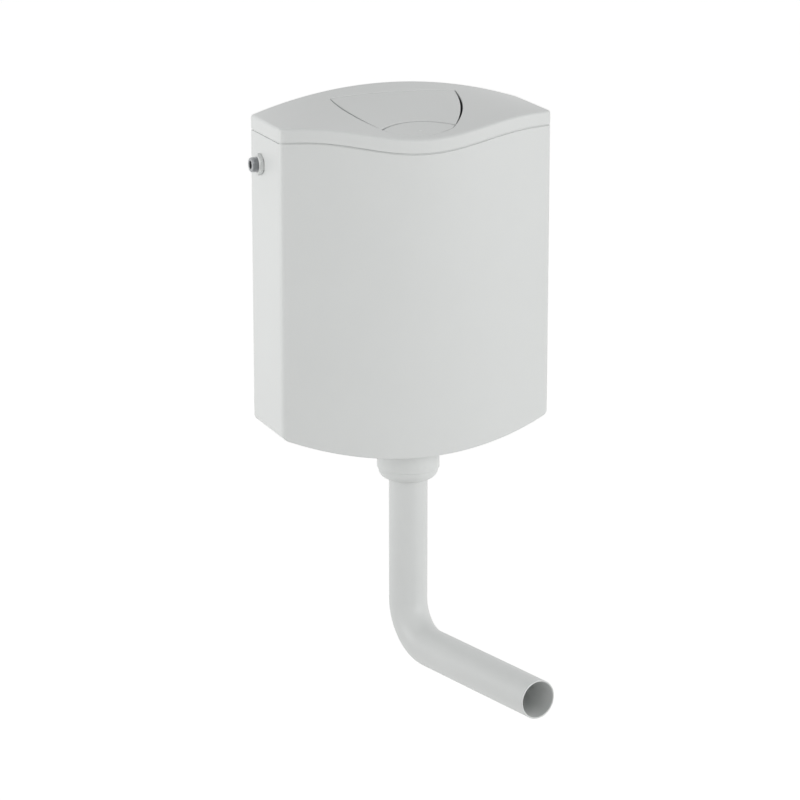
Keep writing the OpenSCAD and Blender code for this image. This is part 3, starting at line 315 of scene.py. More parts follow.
def arc_distance(start, way, x, y, r, far):
    """Distance along a ray to the far or the near side of a circle, or None where it misses."""
    dx = start[0] - x
    dy = start[1] - y
    along = dx * way[0] + dy * way[1]
    inside = along * along - dx * dx - dy * dy + r * r
    if inside < 0:
        return None
    distance = -along + math.sqrt(inside) if far else -along - math.sqrt(inside)
    return distance if distance > 0 else None


def cross(a, b):
    """Cross product of two plane vectors."""
    return a[0] * b[1] - a[1] * b[0]


def meet(outline, start, angle):
    """Where a ray from start leaves an outline: the point, the outward normal and the side's number."""
    sides, corners = outline
    way = (math.cos(angle), math.sin(angle))
    best = None
    for number, (kind, x, y, d) in enumerate(sides):
        if kind == "flat":
            slope = way[0] * x + way[1] * y
            distance = (d - start[0] * x - start[1] * y) / slope if slope > 1e-9 else None
        else:
            distance = arc_distance(start, way, x, y, d, kind == "inside")
        if distance is not None and (best is None or distance < best[0]):
            best = (distance, number)
    distance, number = best
    kind, x, y, d = sides[number]
    point = (start[0] + way[0] * distance, start[1] + way[1] * distance)
    normal = (x, y) if kind == "flat" else ((point[0] - x) / d, (point[1] - y) / d)
    for k, (x, y, r, first, last) in enumerate(corners):
        out = (point[0] - x, point[1] - y)
        if cross(first, out) > 0 and cross(out, last) > 0:
            distance = arc_distance(start, way, x, y, r, True)
            point = (start[0] + way[0] * distance, start[1] + way[1] * distance)
            return point, ((point[0] - x) / r, (point[1] - y) / r), len(sides) + k
    return point, normal, number


def stations(outline, start, step=PLAN_STEP, least=PLAN_LEAST):
    """Angles round an outline: each place where one side ends, and even steps between those."""
    scan = 1440
    halvings = 40
    limits = []
    for k in range(scan):
        low = math.tau * k / scan
        high = math.tau * (k + 1) / scan
        side = meet(outline, start, low)[2]
        if meet(outline, start, high)[2] == side:
            continue
        for _ in range(halvings):
            middle = (low + high) / 2
            if meet(outline, start, middle)[2] == side:
                low = middle
            else:
                high = middle
        limits.append(high)
    angles = []
    for k, low in enumerate(limits):
        high = limits[k + 1] if k + 1 < len(limits) else limits[0] + math.tau
        count = max(least, math.ceil((high - low) / step))
        angles += [(low + (high - low) * j / count) % math.tau for j in range(count)]
    return sorted(angles)


def merged(first, second):
    """Two lists of angles as one, without near doubles."""
    near = math.radians(0.06)
    kept = []
    for angle in sorted(first + second):
        if not kept or angle - kept[-1] > near:
            kept.append(angle)
    return kept


def round_edge(r, steps):
    """Inset and drop along a quarter-round edge, from its foot on the wall to its end on the top."""
    turns = [math.pi / 2 * k / steps for k in range(steps + 1)]
    return [(r * (1 - math.cos(a)), r * (1 - math.sin(a))) for a in turns]


class CisternForm:
    """Surfaces of the tank and the lid, worked out from the sizes in the panel."""

    # Rounds that get smaller as an outline moves in stop at these radii
    least_corner = 0.6 * MM
    least_back = 0.3 * MM

    def __init__(self, settings):
        tank, lid, buttons = settings.tank, settings.lid, settings.buttons
        self.tank, self.lid, self.buttons = tank, lid, buttons
        self.half = tank.width / 2
        self.rim_z = tank.rim
        self.low_z = TANK_LOW.z + tank.pad_below
        self.plan_r = arc_radius(tank.width, tank.front_bow)
        self.plan_y = self.plan_r - tank.depth
        self.sag_r = arc_radius(tank.width, tank.sag)
        self.sag_z = self.low_z + self.sag_r
        self.outlet = (0.0, -tank.outlet_y)
        self.lid_centre = (0.0, -lid.centre_y)

    def bowed_corner(self, big_r, big_at, corner_r, inset):
        """Centre, radius and far direction of the round between a side and a bowed face."""
        r = max(corner_r - inset, self.least_corner)
        x = self.half - inset - r
        reach = big_r - inset - r
        drop = math.sqrt(reach * reach - x * x)
        return x, big_at - drop, r, (x / reach, -drop / reach)

    def plan(self, inset):
        """The tank's plan, moved in by inset."""
        half = self.half - inset
        back = max(self.tank.back_r - inset, self.least_back)
        sides = [
            ("flat", 0, 1, -inset),
            ("flat", 1, 0, half),
            ("flat", -1, 0, half),
            ("inside", 0, self.plan_y, self.plan_r - inset),
        ]
        x, y, r, out = self.bowed_corner(self.plan_r, self.plan_y, self.tank.edge_r, inset)
        corners = [
            (half - back, -inset - back, back, (1, 0), (0, 1)),
            (back - half, -inset - back, back, (0, 1), (-1, 0)),
            (x, y, r, out, (1, 0)),
            (-x, y, r, (-1, 0), (-out[0], out[1])),
        ]
        return sides, corners

    def opening(self, gap):
        """The lid's button opening, moved in by gap."""
        lid = self.lid
        side_x = lid.side_r - lid.half
        sides = [
            ("flat", 0, 1, -lid.back - gap),
            ("inside", -side_x, -lid.back, lid.side_r - gap),
            ("inside", side_x, -lid.back, lid.side_r - gap),
            ("inside", 0, lid.front_r - lid.front, lid.front_r - gap),
        ]
        return sides, []

    def full_button(self, inset):
        """The full-flush button's plan, moved in by inset: its flatter sides leave a crescent gap."""
        lid, buttons = self.lid, self.buttons
        side_x = lid.side_r - lid.half
        rise = lid.back - buttons.corner_y
        corner_x = math.sqrt(lid.side_r ** 2 - rise ** 2) - side_x
        middle = math.asin(rise / 2 / lid.side_r)
        close = lid.side_r - buttons.side_gap
        x, y, r = circle_through(
            (lid.half - buttons.end_gap, -lid.back),
            (close * math.cos(middle) - side_x, close * math.sin(middle) - lid.back),
            (corner_x - buttons.end_gap, -buttons.corner_y),
        )
        sides, corners = self.opening(buttons.gap + inset)
        sides = [("flat", 0, 1, -lid.back - buttons.back_gap - inset)] + sides[1:] + [
            ("inside", x, y, r - inset),
            ("inside", -x, y, r - inset),
            ("outside", 0, -buttons.split_y - buttons.split_r, buttons.split_r + inset),
        ]
        return sides, corners

    def half_button(self, inset):
        """The part-flush button's plan, moved in by inset: a lens at the opening's front."""
        buttons = self.buttons
        sides, corners = self.opening(buttons.gap + inset)
        split_r = buttons.split_r - buttons.split_gap - inset
        return sides + [("inside", 0, -buttons.split_y - buttons.split_r, split_r)], corners

    def bell(self, x):
        """Share of the rim's dip at a place across the front."""
        if abs(x) >= self.tank.dip_half:
            return 0.0
        return (1 + math.cos(math.pi * x / self.tank.dip_half)) / 2

    def front_share(self, x, y):
        """Share of the way from the back edge to the bowed front."""
        return -y / (math.sqrt(self.plan_r ** 2 - x * x) - self.plan_y)

    def rim(self, x, y):
        """Height of the tank's rim, which dips at the front."""
        dips = y < (self.tank.front_bow - self.tank.depth) / 2
        return self.rim_z - (self.tank.rim_dip * self.bell(x) if dips else 0)

    def seam(self, x, y):
        """Height of the lower edge of the lid's skirt."""
        share = self.front_share(x, y)
        dip = self.tank.rim_dip * self.bell(x) * share if share > 0.5 else 0
        return self.rim_z + self.lid.seam_gap - dip

    def lid_top(self, x, y):
        """Height of the lid: a saddle between its arched back and its dipped front."""
        share = self.front_share(x, y)
        arch = self.lid.arch * (1 - (x / self.half) ** 2) * (1 - share)
        return self.rim_z + self.lid.band + arch - self.tank.rim_dip * self.bell(x) * share

    def under(self, x, inset=0.0):
        """Height of the underside, or of the floor inside it, at a place across the tank."""
        big = self.sag_r - inset
        corner_x, corner_z, r, out = self.bowed_corner(self.sag_r, self.sag_z, self.tank.corner_r, inset)
        x = min(abs(x), corner_x + r)
        if x <= out[0] * big:
            return self.sag_z - math.sqrt(big * big - x * x)
        return corner_z - math.sqrt(max(r * r - (x - corner_x) ** 2, 0))


# Meshes


def ring(outline, start, angles, height):
    """Ring of points on an outline, at heights that depend on the place."""
    points = [meet(outline, start, angle)[0] for angle in angles]
    return [(x, y, height(x, y)) for x, y in points]


def disc(centre, r, angles, height):
    """Ring of points on a circle, at heights that depend on the place."""
    points = [(centre[0] + r * math.cos(a), centre[1] + r * math.sin(a)) for a in angles]
    return [(x, y, height(x, y)) for x, y in points]


def between(first, last, share, height):
    """Ring between two rings, at heights that depend on the place."""
    made = []
    for a, b in zip(first, last):
        x = a[0] + (b[0] - a[0]) * share
        y = a[1] + (b[1] - a[1]) * share
        made.append((x, y, height(x, y)))
    return made


def mesh_of(name, rings, joined):
    """Mesh from rings of points. The last ring joins the first, or else both ends are closed."""
    count = len(rings[0])
    points = [p for row in rings for p in row]
    faces = []
    rows = len(rings) if joined else len(rings) - 1
    for row in range(rows):
        low = row * count
        high = (row + 1) % len(rings) * count
        for k in range(count):
            m = (k + 1) % count
            faces.append((low + k, low + m, high + m, high + k))
    if not joined:
        last = (len(rings) - 1) * count
        faces.append(tuple(range(count - 1, -1, -1)))
        faces.append(tuple(range(last, last + count)))
    mesh = bpy.data.meshes.new(name)
    mesh.from_pydata(points, [], faces)
    shape = bmesh.new()
    shape.from_mesh(mesh)
    bmesh.ops.recalc_face_normals(shape, faces=shape.faces)
    shape.to_mesh(mesh)
    shape.free()
    return mesh


def new_object(name, data):
    """Object of a mesh, a light or a camera, in the scene."""
    made = bpy.data.objects.new(name, data)
    bpy.context.scene.collection.objects.link(made)
    return made


def solid(name, rings, joined):
    """Object from rings of points, in the scene."""
    return new_object(name, mesh_of(name, rings, joined))


def combine(piece, meshes, operation):
    """Adds meshes to a piece, or cuts them out of it, for good."""
    shape = bmesh.new()
    for mesh in meshes:
        shape.from_mesh(mesh)
        bpy.data.meshes.remove(mesh)
    whole = bpy.data.meshes.new("tool")
    shape.to_mesh(whole)
    shape.free()
    tool = new_object("tool", whole)
    modifier = piece.modifiers.new("combine", "BOOLEAN")
    modifier.operation = operation
    modifier.solver = "EXACT"
    modifier.object = tool
    result = piece.evaluated_get(bpy.context.evaluated_depsgraph_get())
    made = bpy.data.meshes.new_from_object(result)
    if not made.polygons:
        raise RuntimeError(f"{piece.name} came to nothing")
    old = piece.data
    piece.modifiers.clear()
    piece.data = made
    made.name = piece.name
    bpy.data.meshes.remove(old)
    bpy.data.objects.remove(tool)
    bpy.data.meshes.remove(whole)


def turned(r, h, place, steps, along, first=0.0):
    """Ring about an axis: its radius, or a rule that gives the radius at an angle, and its place along the
    axis. The axis runs along x, y or z, and place is where it passes in the other two."""
    row = []
    for k in range(steps):
        a = first + math.tau * k / steps
        wide = r(a) if callable(r) else r
        u = place[0] + wide * math.cos(a)
        v = place[1] + wide * math.sin(a)
        row.append({"x": (h, u, v), "y": (u, h, v), "z": (u, v, h)}[along])
    return row


def lathe(profile, place, steps, along):
    """Rings of a turned form: profile points are a radius and a place along the axis."""
    return [turned(r, h, place, steps, along) for r, h in profile]


def dress(piece, node, settings):
    """Smooth faces, the node's finish, and the place in the frame of the node that the piece stands for."""
    piece.data.materials.clear()
    piece.data.materials.append(finish_for(node, settings))
    piece.data.shade_smooth()
    piece.data.set_sharp_from_angle(angle=SHARP_ANGLE)
    weights = piece.modifiers.new("even_faces", "WEIGHTED_NORMAL")
    weights.keep_sharp = True
    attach(piece, body_of(node))
    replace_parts(piece, node)


def body_of(node):
    """Body that a node of the frame belongs to."""
    for body, members in frame["record"]["behaviour"]["bodies"].items():
        if node in members:
            return body
    raise RuntimeError(f"no body holds {node}")


# Materials


def add(tree, kind, links=None, **settings):
    """A node with its settings and its inputs: each input is another node's output or a plain value."""
    node = tree.nodes.new(kind)
    for name, value in settings.items():
        setattr(node, name, value)
    for name, value in (links or {}).items():
        if isinstance(value, bpy.types.NodeSocket):
            tree.links.new(value, node.inputs[name])
        else:
            node.inputs[name].default_value = value
    return node


def new_material(name):
    """An empty material and its tree."""
    material = bpy.data.materials.get(name)
    if material:
        bpy.data.materials.remove(material)
    material = bpy.data.materials.new(name)
    material.use_nodes = True
    material.node_tree.nodes.clear()
    return material, material.node_tree


def surfaced(material, inputs):
    """A material with its shader, whose inputs are other nodes' outputs or plain values."""
    tree = material.node_tree
    shader = add(tree, "ShaderNodeBsdfPrincipled", inputs)
    add(tree, "ShaderNodeOutputMaterial", {"Surface": shader.outputs["BSDF"]})
    return material


def per_metre(mm):
    """Scale of a pattern whose features are this many millimetres wide."""
    return 1 / (mm * MM)


def shades(tree, base, spread, factor):
    """A colour that runs a little darker and lighter with a factor from 0 to 1."""
    dark = [c * (1 - spread) for c in base[:3]] + [1]
    light = [min(c * (1 + spread), 1) for c in base[:3]] + [1]
    mix = add(tree, "ShaderNodeMix", {"Factor": factor}, data_type="RGBA")
    mix.inputs["A"].default_value = dark
    mix.inputs["B"].default_value = light
    return mix.outputs["Result"]


def moulded_plastic(name, base, roughness, ior, cloud_mm, grain_mm, grain_depth_mm):
    """Injection-moulded plastic. The flow of the melt leaves soft clouds of tone, and the steel of the
    mould, lightly blasted, leaves a fine grain that spreads the highlights into a satin sheen. The real
    grain is about 0.1 mm, too fine to show, so it is drawn coarser."""
    material, tree = new_material(name)
    place = add(tree, "ShaderNodeTexCoord").outputs["Object"]
    cloud = add(
        tree,
        "ShaderNodeTexNoise",
        {"Vector": place, "Scale": per_metre(cloud_mm), "Detail": 3.0, "Roughness": 0.6},
    )
    grain = add(
        tree,
        "ShaderNodeTexNoise",
        {"Vector": place, "Scale": per_metre(grain_mm), "Detail": 2.0, "Roughness": 0.55},
    )
    sheen = add(
        tree,
        "ShaderNodeMapRange",
        {"Value": cloud.outputs["Fac"], "To Min": roughness - 0.04, "To Max": roughness + 0.04},
    )
    bump = add(
        tree,
        "ShaderNodeBump",
        {"Height": grain.outputs["Fac"], "Strength": 0.35, "Distance": grain_depth_mm * MM},
    )
    return surfaced(material, {
        "Base Color": shades(tree, base, 0.018, cloud.outputs["Fac"]),
        "Roughness": sheen.outputs["Result"],
        "Normal": bump.outputs["Normal"],
        "IOR": ior,
    })


def abs_satin(finishes):
    """Moulded ABS with a satin sheen, as on tank, lid and buttons."""
    return moulded_plastic("ABS_satin_moulded", finishes.tank, 0.42, 1.53, 60, 1.6, 0.02)


def pp_nut(finishes):
    """Moulded polypropylene, a little waxy, as on nuts and the plug."""
    return moulded_plastic("PP_white_moulded", finishes.nut, 0.4, 1.49, 25, 1.4, 0.02)


def abs_valve(finishes):
    """Moulded ABS in pale grey, straight from a polished mould."""
    return moulded_plastic("ABS_grey_moulded", finishes.valve, 0.34, 1.53, 30, 1.5, 0.015)


def pp_blue(finishes):
    """Moulded polypropylene dyed blue, so that a fitter finds the loose pieces."""
    return moulded_plastic("PP_blue_moulded", finishes.bridge, 0.38, 1.49, 22, 1.4, 0.02)


def acetal(finishes):
    """Moulded acetal, ivory white and slippery."""
    return moulded_plastic("Acetal_moulded", finishes.lever, 0.3, 1.48, 20, 1.2, 0.012)


def pp_float(finishes):
    """Moulded polypropylene dyed amber, as on floats."""
    return moulded_plastic("PP_amber_moulded", finishes.float_skin, 0.36, 1.49, 24, 1.4, 0.02)


def extruded_pipe(finishes):
    """Extruded polyethylene pipe. The die draws faint lines along it, about 1.4 mm apart, and the wall
    thickness wanders a little, so its gloss and tone run in long soft streaks."""
    material, tree = new_material("PE_extruded_pipe")
    lengthwise = add(tree, "ShaderNodeUVMap", uv_map="lengthwise").outputs["UV"]
    streaks = add(
        tree,
        "ShaderNodeMapping",
        {"Vector": lengthwise, "Scale": Vector((per_metre(1.4), per_metre(90), 1))},
    )
    lines = add(
        tree,
        "ShaderNodeTexNoise",
        {"Vector": streaks.outputs["Vector"], "Scale": 1.0, "Detail": 2.0, "Roughness": 0.5},
    )
    place = add(tree, "ShaderNodeTexCoord").outputs["Object"]
    cloud = add(tree, "ShaderNodeTexNoise", {"Vector": place, "Scale": per_metre(45), "Detail": 2.0})
    sheen = add(tree, "ShaderNodeMapRange", {"Value": lines.outputs["Fac"], "To Min": 0.36, "To Max": 0.46})
    bump = add(
        tree, "ShaderNodeBump", {"Height": lines.outputs["Fac"], "Strength": 0.2, "Distance": 0.02 * MM}
    )
    return surfaced(material, {
        "Base Color": shades(tree, finishes.pipe, 0.016, cloud.outputs["Fac"]),
        "Roughness": sheen.outputs["Result"],
        "Normal": bump.outputs["Normal"],
        "IOR": 1.51,
    })


def expanded_polystyrene(finishes):
    """Expanded polystyrene, steamed in a mould. Beads of about 3.5 mm are pressed flat against each other,
    and thin dark lines show where they meet."""
    material, tree = new_material("EPS_bead_foam")
    place = add(tree, "ShaderNodeTexCoord").outputs["Object"]
    pattern = {"Vector": place, "Scale": per_metre(3.5)}
    edges = add(tree, "ShaderNodeTexVoronoi", pattern, feature="DISTANCE_TO_EDGE")
    beads = add(tree, "ShaderNodeTexVoronoi", pattern)
    rise = add(
        tree,
        "ShaderNodeMapRange",
        {"Value": edges.outputs["Distance"], "From Max": 0.22},
        interpolation_type="SMOOTHSTEP",
    )
    tone = add(tree, "ShaderNodeSeparateColor", {"Color": beads.outputs["Color"]})
    shade = add(
        tree, "ShaderNodeMath", {0: rise.outputs["Result"], 1: tone.outputs["Red"]}, operation="MULTIPLY"
    )
    bump = add(
        tree, "ShaderNodeBump", {"Height": rise.outputs["Result"], "Strength": 0.6, "Distance": 0.25 * MM}
    )
    return surfaced(material, {
        "Base Color": shades(tree, finishes.liner, 0.05, shade.outputs["Value"]),
        "Roughness": 0.7,
        "Normal": bump.outputs["Normal"],
        "IOR": 1.4,
    })


def epdm_rubber(finishes):
    """Moulded EPDM rubber: near black, with a dry bloom that lightens it in patches and a fine grain."""
    material, tree = new_material("EPDM_rubber_moulded")
    place = add(tree, "ShaderNodeTexCoord").outputs["Object"]
    bloom = add(tree, "ShaderNodeTexNoise", {"Vector": place, "Scale": per_metre(9), "Detail": 4.0})
    grain = add(tree, "ShaderNodeTexNoise", {"Vector": place, "Scale": per_metre(0.8), "Detail": 2.0})
    sheen = add(tree, "ShaderNodeMapRange", {"Value": bloom.outputs["Fac"], "To Min": 0.62, "To Max": 0.82})
    bump = add(
        tree, "ShaderNodeBump", {"Height": grain.outputs["Fac"], "Strength": 0.4, "Distance": 0.03 * MM}
    )
    return surfaced(material, {
        "Base Color": shades(tree, finishes.rubber, 0.3, bloom.outputs["Fac"]),
        "Roughness": sheen.outputs["Result"],
        "Normal": bump.outputs["Normal"],
        "IOR": 1.52,
    })


def drawn_steel(finishes):
    """Drawn stainless steel rod and wire: bright, with scratches of about 0.9 mm from the die."""
    material, tree = new_material("Stainless_steel_drawn")
    place = add(tree, "ShaderNodeTexCoord").outputs["Object"]
    scratches = add(
        tree,
        "ShaderNodeTexNoise",
        {"Vector": place, "Scale": per_metre(0.9), "Detail": 5.0, "Distortion": 0.4},
    ).outputs["Fac"]
    sheen = add(tree, "ShaderNodeMapRange", {"Value": scratches, "To Min": 0.2, "To Max": 0.36})
    bump = add(tree, "ShaderNodeBump", {"Height": scratches, "Strength": 0.15, "Distance": 0.02 * MM})
    return surfaced(material, {
        "Base Color": shades(tree, finishes.steel, 0.05, scratches),
        "Roughness": sheen.outputs["Result"],
        "Normal": bump.outputs["Normal"],
        "Metallic": 1.0,
    })


def nickel_brass(finishes):
    """Turned brass with dull nickel plate: grey, with tool marks round it and a patchy dulled sheen."""
    material, tree = new_material("Brass_nickel_plated")
    place = add(tree, "ShaderNodeTexCoord").outputs["Object"]
    patches = add(tree, "ShaderNodeTexNoise", {"Vector": place, "Scale": per_metre(3), "Detail": 4.0})
    marks = add(
        tree,
        "ShaderNodeTexWave",
        {"Vector": place, "Scale": per_metre(0.9), "Distortion": 1.5, "Detail": 2.0},
        bands_direction="X",
    )
    sheen = add(tree, "ShaderNodeMapRange", {"Value": patches.outputs["Fac"], "To Min": 0.3, "To Max": 0.48})
    bump = add(
        tree, "ShaderNodeBump", {"Height": marks.outputs["Fac"], "Strength": 0.12, "Distance": 0.02 * MM}
    )
    return surfaced(material, {
        "Base Color": shades(tree, finishes.brass, 0.12, patches.outputs["Fac"]),
        "Roughness": sheen.outputs["Result"],
        "Normal": bump.outputs["Normal"],
        "Metallic": 1.0,
    })


FINISH_OF_SLOT = {
    "tank_plastic": abs_satin,
    "lid_plastic": abs_satin,
    "button_plastic": abs_satin,
    "pipe_plastic": extruded_pipe,
    "nut_plastic": pp_nut,
    "liner_foam": expanded_polystyrene,
    "seal_rubber": epdm_rubber,
    "valve_plastic": abs_valve,
    "bridge_plastic": pp_blue,
    "lever_plastic": acetal,
    "float_plastic": pp_float,
    "pin_steel": drawn_steel,
    "shank_metal": nickel_brass,
}
MADE = {}


def finish_for(node, settings):
    """The material of a node, made once for all the nodes that share it."""
    maker = FINISH_OF_SLOT[SLOT_OF_NODE[node]]
    if maker not in MADE:
        MADE[maker] = maker(settings.finishes)
    return MADE[maker]


# Operators


class CISTERN_OT_tank(bpy.types.Operator):
    """Moulds the tank: a bowed shell with a dipped rim, an outlet pad and holes for the inlet and the wall"""

    bl_idname = "cistern.tank"
    bl_label = "Tank"

    def execute(self, context):
        settings = context.scene.cistern
        tank = settings.tank
        form = CisternForm(settings)
        angles = stations(form.plan(0), form.outlet)
        # How squarely each point of the plan faces the front or the wall, where the foot is rounded
        facing = [meet(form.plan(0), form.outlet, a)[1][1] ** 2 for a in angles]
        pad_low = TANK_LOW.z
        pad_top = pad_low + tank.pad_t
        # Insets of the underside's outer rings, and the shares of the way from there to the outlet's pad
        spread = [4 * MM, 6 * MM, 8 * MM, 11 * MM]
        shares = (0.25, 0.5, 0.75)

        def at_rim(inset, drop):
            return ring(form.plan(inset), form.outlet, angles, lambda x, y: form.rim(x, y) - drop)

        def at_foot(inset, rise, wall):
            points = [meet(form.plan(inset + wall), form.outlet, a)[0] for a in angles]
            return [(x, y, form.under(x, wall) + rise * w) for (x, y), w in zip(points, facing)]

        def on_pad(r, height):
            return disc(form.outlet, r, angles, lambda x, y: height)

        def floor(first, last, wall):
            return [between(first, last, share, lambda x, y: form.under(x, wall)) for share in shares]

        lip = round_edge(FINE_R, 2)
        fine = round_edge(0.5 * MM, 2)
        foot = round_edge(tank.foot_r, 6)
        below, above = [
            disc(form.outlet, tank.pad_r, angles, lambda x, y: form.under(x, wall)) for wall in (0, tank.wall)
        ]
        rings = [at_rim(e, tank.step_h + d) for e, d in reversed(lip)]
        rings += [at_foot(e, d, 0) for e, d in foot]
        rings += [at_foot(e, 0, 0) for e in spread]
        rings += floor(rings[-1], below, 0) + [below]
        rings += [on_pad(tank.pad_r - e, pad_low + d) for e, d in fine]
        rings += [on_pad(tank.outlet_r + e, pad_low + d) for e, d in reversed(fine)]
        rings += [on_pad(tank.outlet_r + e, pad_top - d) for e, d in fine]
        rings += [on_pad(tank.pad_r - e, pad_top - d) for e, d in reversed(fine)]
        rings += [above] + floor(above, at_foot(spread[-1], 0, tank.wall), tank.wall)
        rings += [at_foot(e, 0, tank.wall) for e in reversed(spread)]
        rings += [at_foot(e, d, tank.wall) for e, d in reversed(foot)]
        rings += [at_rim(tank.wall - e, d) for e, d in lip]
        rings += [at_rim(tank.step_w + e, d) for e, d in reversed(lip)]
        rings.append(at_rim(tank.step_w, tank.step_h))
        piece = solid("tank_shell", rings, True)

        depth = 2 * tank.wall
        chamfer = 0.6 * MM
        boss = [
            (tank.boss_r, -tank.wall / 2),
            (tank.boss_r, chamfer - depth),
            (tank.boss_r - chamfer, -depth),
        ]
        hole = [(tank.fixing_d / 2, -depth - tank.wall), (tank.fixing_d / 2, tank.wall)]
        bosses = []
        holes = []
        for x in (-tank.fixing_gap / 2, tank.fixing_gap / 2):
            bosses.append(mesh_of("boss", lathe(boss, (x, 0.0), 64, "y"), False))
            holes.append(mesh_of("hole", lathe(hole, (x, 0.0), 64, "y"), False))
        for side in (-1, 1):
            ends = (side * (form.half - 3 * tank.wall), side * (form.half + tank.wall))
            hole = [(tank.inlet_hole_r, end) for end in ends]
            holes.append(mesh_of("hole", lathe(hole, INLET_AXIS, 64, "x"), False))
        combine(piece, bosses, "UNION")
        combine(piece, holes, "DIFFERENCE")
        dress(piece, "tank", settings)
        return {"FINISHED"}


class CISTERN_OT_lid(bpy.types.Operator):
    """Moulds the lid: a saddle with a rounded edge, a skirt, a button opening, bosses and locating tabs"""

    bl_idname = "cistern.lid"
    bl_label = "Lid"

    def execute(self, context):
        settings = context.scene.cistern
        tank, lid = settings.tank, settings.lid
        form = CisternForm(settings)
        start = form.lid_centre
        angles = merged(
            stations(form.plan(0), start),
            stations(form.opening(0), start, math.radians(3), 10),
        )

        def outer(inset, drop):
            return ring(form.plan(inset), start, angles, lambda x, y: form.lid_top(x, y) - drop)

        def skirt(inset, rise):
            return ring(form.plan(inset), start, angles, lambda x, y: form.seam(x, y) + rise)

        def inner(inset, drop):
            return ring(form.opening(-inset), start, angles, lambda x, y: form.lid_top(x, y) - drop)

        fine = round_edge(FINE_R, 2)
        brim = round_edge(0.7 * MM, 3)
        rings = [skirt(e, d) for e, d in reversed(fine)]
        rings += [outer(e, d) for e, d in round_edge(lid.edge_r, 7)]
        edge = rings[-1]
        mouth = inner(brim[-1][0], 0)
        rings += [between(edge, mouth, k / 12, form.lid_top) for k in range(1, 12)]
        rings += [inner(e, d) for e, d in reversed(brim)]
        mouth = inner(0, lid.wall)
        edge = outer(lid.wall, lid.wall)
        rings.append(mouth)
        for k in range(1, 8):
            rings.append(between(mouth, edge, k / 8, lambda x, y: form.lid_top(x, y) - lid.wall))
        rings.append(edge)
        rings += [skirt(lid.wall - e, d) for e, d in fine]
        piece = solid("lid_shell", rings, True)

        # Bosses stand over the button frame's screws, whose box reaches to the edges of their heads
        extras = []
        head_r = (SCREWS_HIGH.x - SCREWS_LOW.x) / 2 - lid.boss_x
        chamfer = 0.5 * MM
        for x in (-lid.boss_x, lid.boss_x):
            for y in (SCREWS_LOW.y + head_r, SCREWS_HIGH.y - head_r):
                top = form.lid_top(x, y) - lid.wall / 2
                wall = [
                    (lid.boss_bore, lid.boss_low),
                    (lid.boss_r - chamfer, lid.boss_low),
                    (lid.boss_r, lid.boss_low + chamfer),
                    (lid.boss_r, top),
                    (lid.boss_bore, top),
                ]
                extras.append(mesh_of("boss", lathe(wall, (x, y), 48, "z"), True))

        # Tabs hang from the lid's sides into the tank
        tab_gap = 0.5 * MM
        tab_out = form.half - tank.wall - tab_gap
        tab_in = tab_out - lid.tab_t
        tab_low = form.rim_z - lid.tab_drop
        skin = form.half - lid.wall / 2
        middle = -(tank.depth - tank.front_bow) / 2
        root_low = form.rim_z + 2 * MM
        root_top = form.rim_z + lid.band / 2
        section = [
            (tab_in, tab_low), (tab_out, tab_low), (tab_out, root_low),
            (skin, root_low), (skin, root_top), (tab_in, root_top),
        ]
        for side in (-1, 1):
            ends = [
                [(side * x, middle + end, z) for x, z in section]
                for end in (-lid.tab_len / 2, lid.tab_len / 2)
            ]
            extras.append(mesh_of("tab", ends, False))
        combine(piece, extras, "UNION")
        dress(piece, "lid", settings)
        return {"FINISHED"}


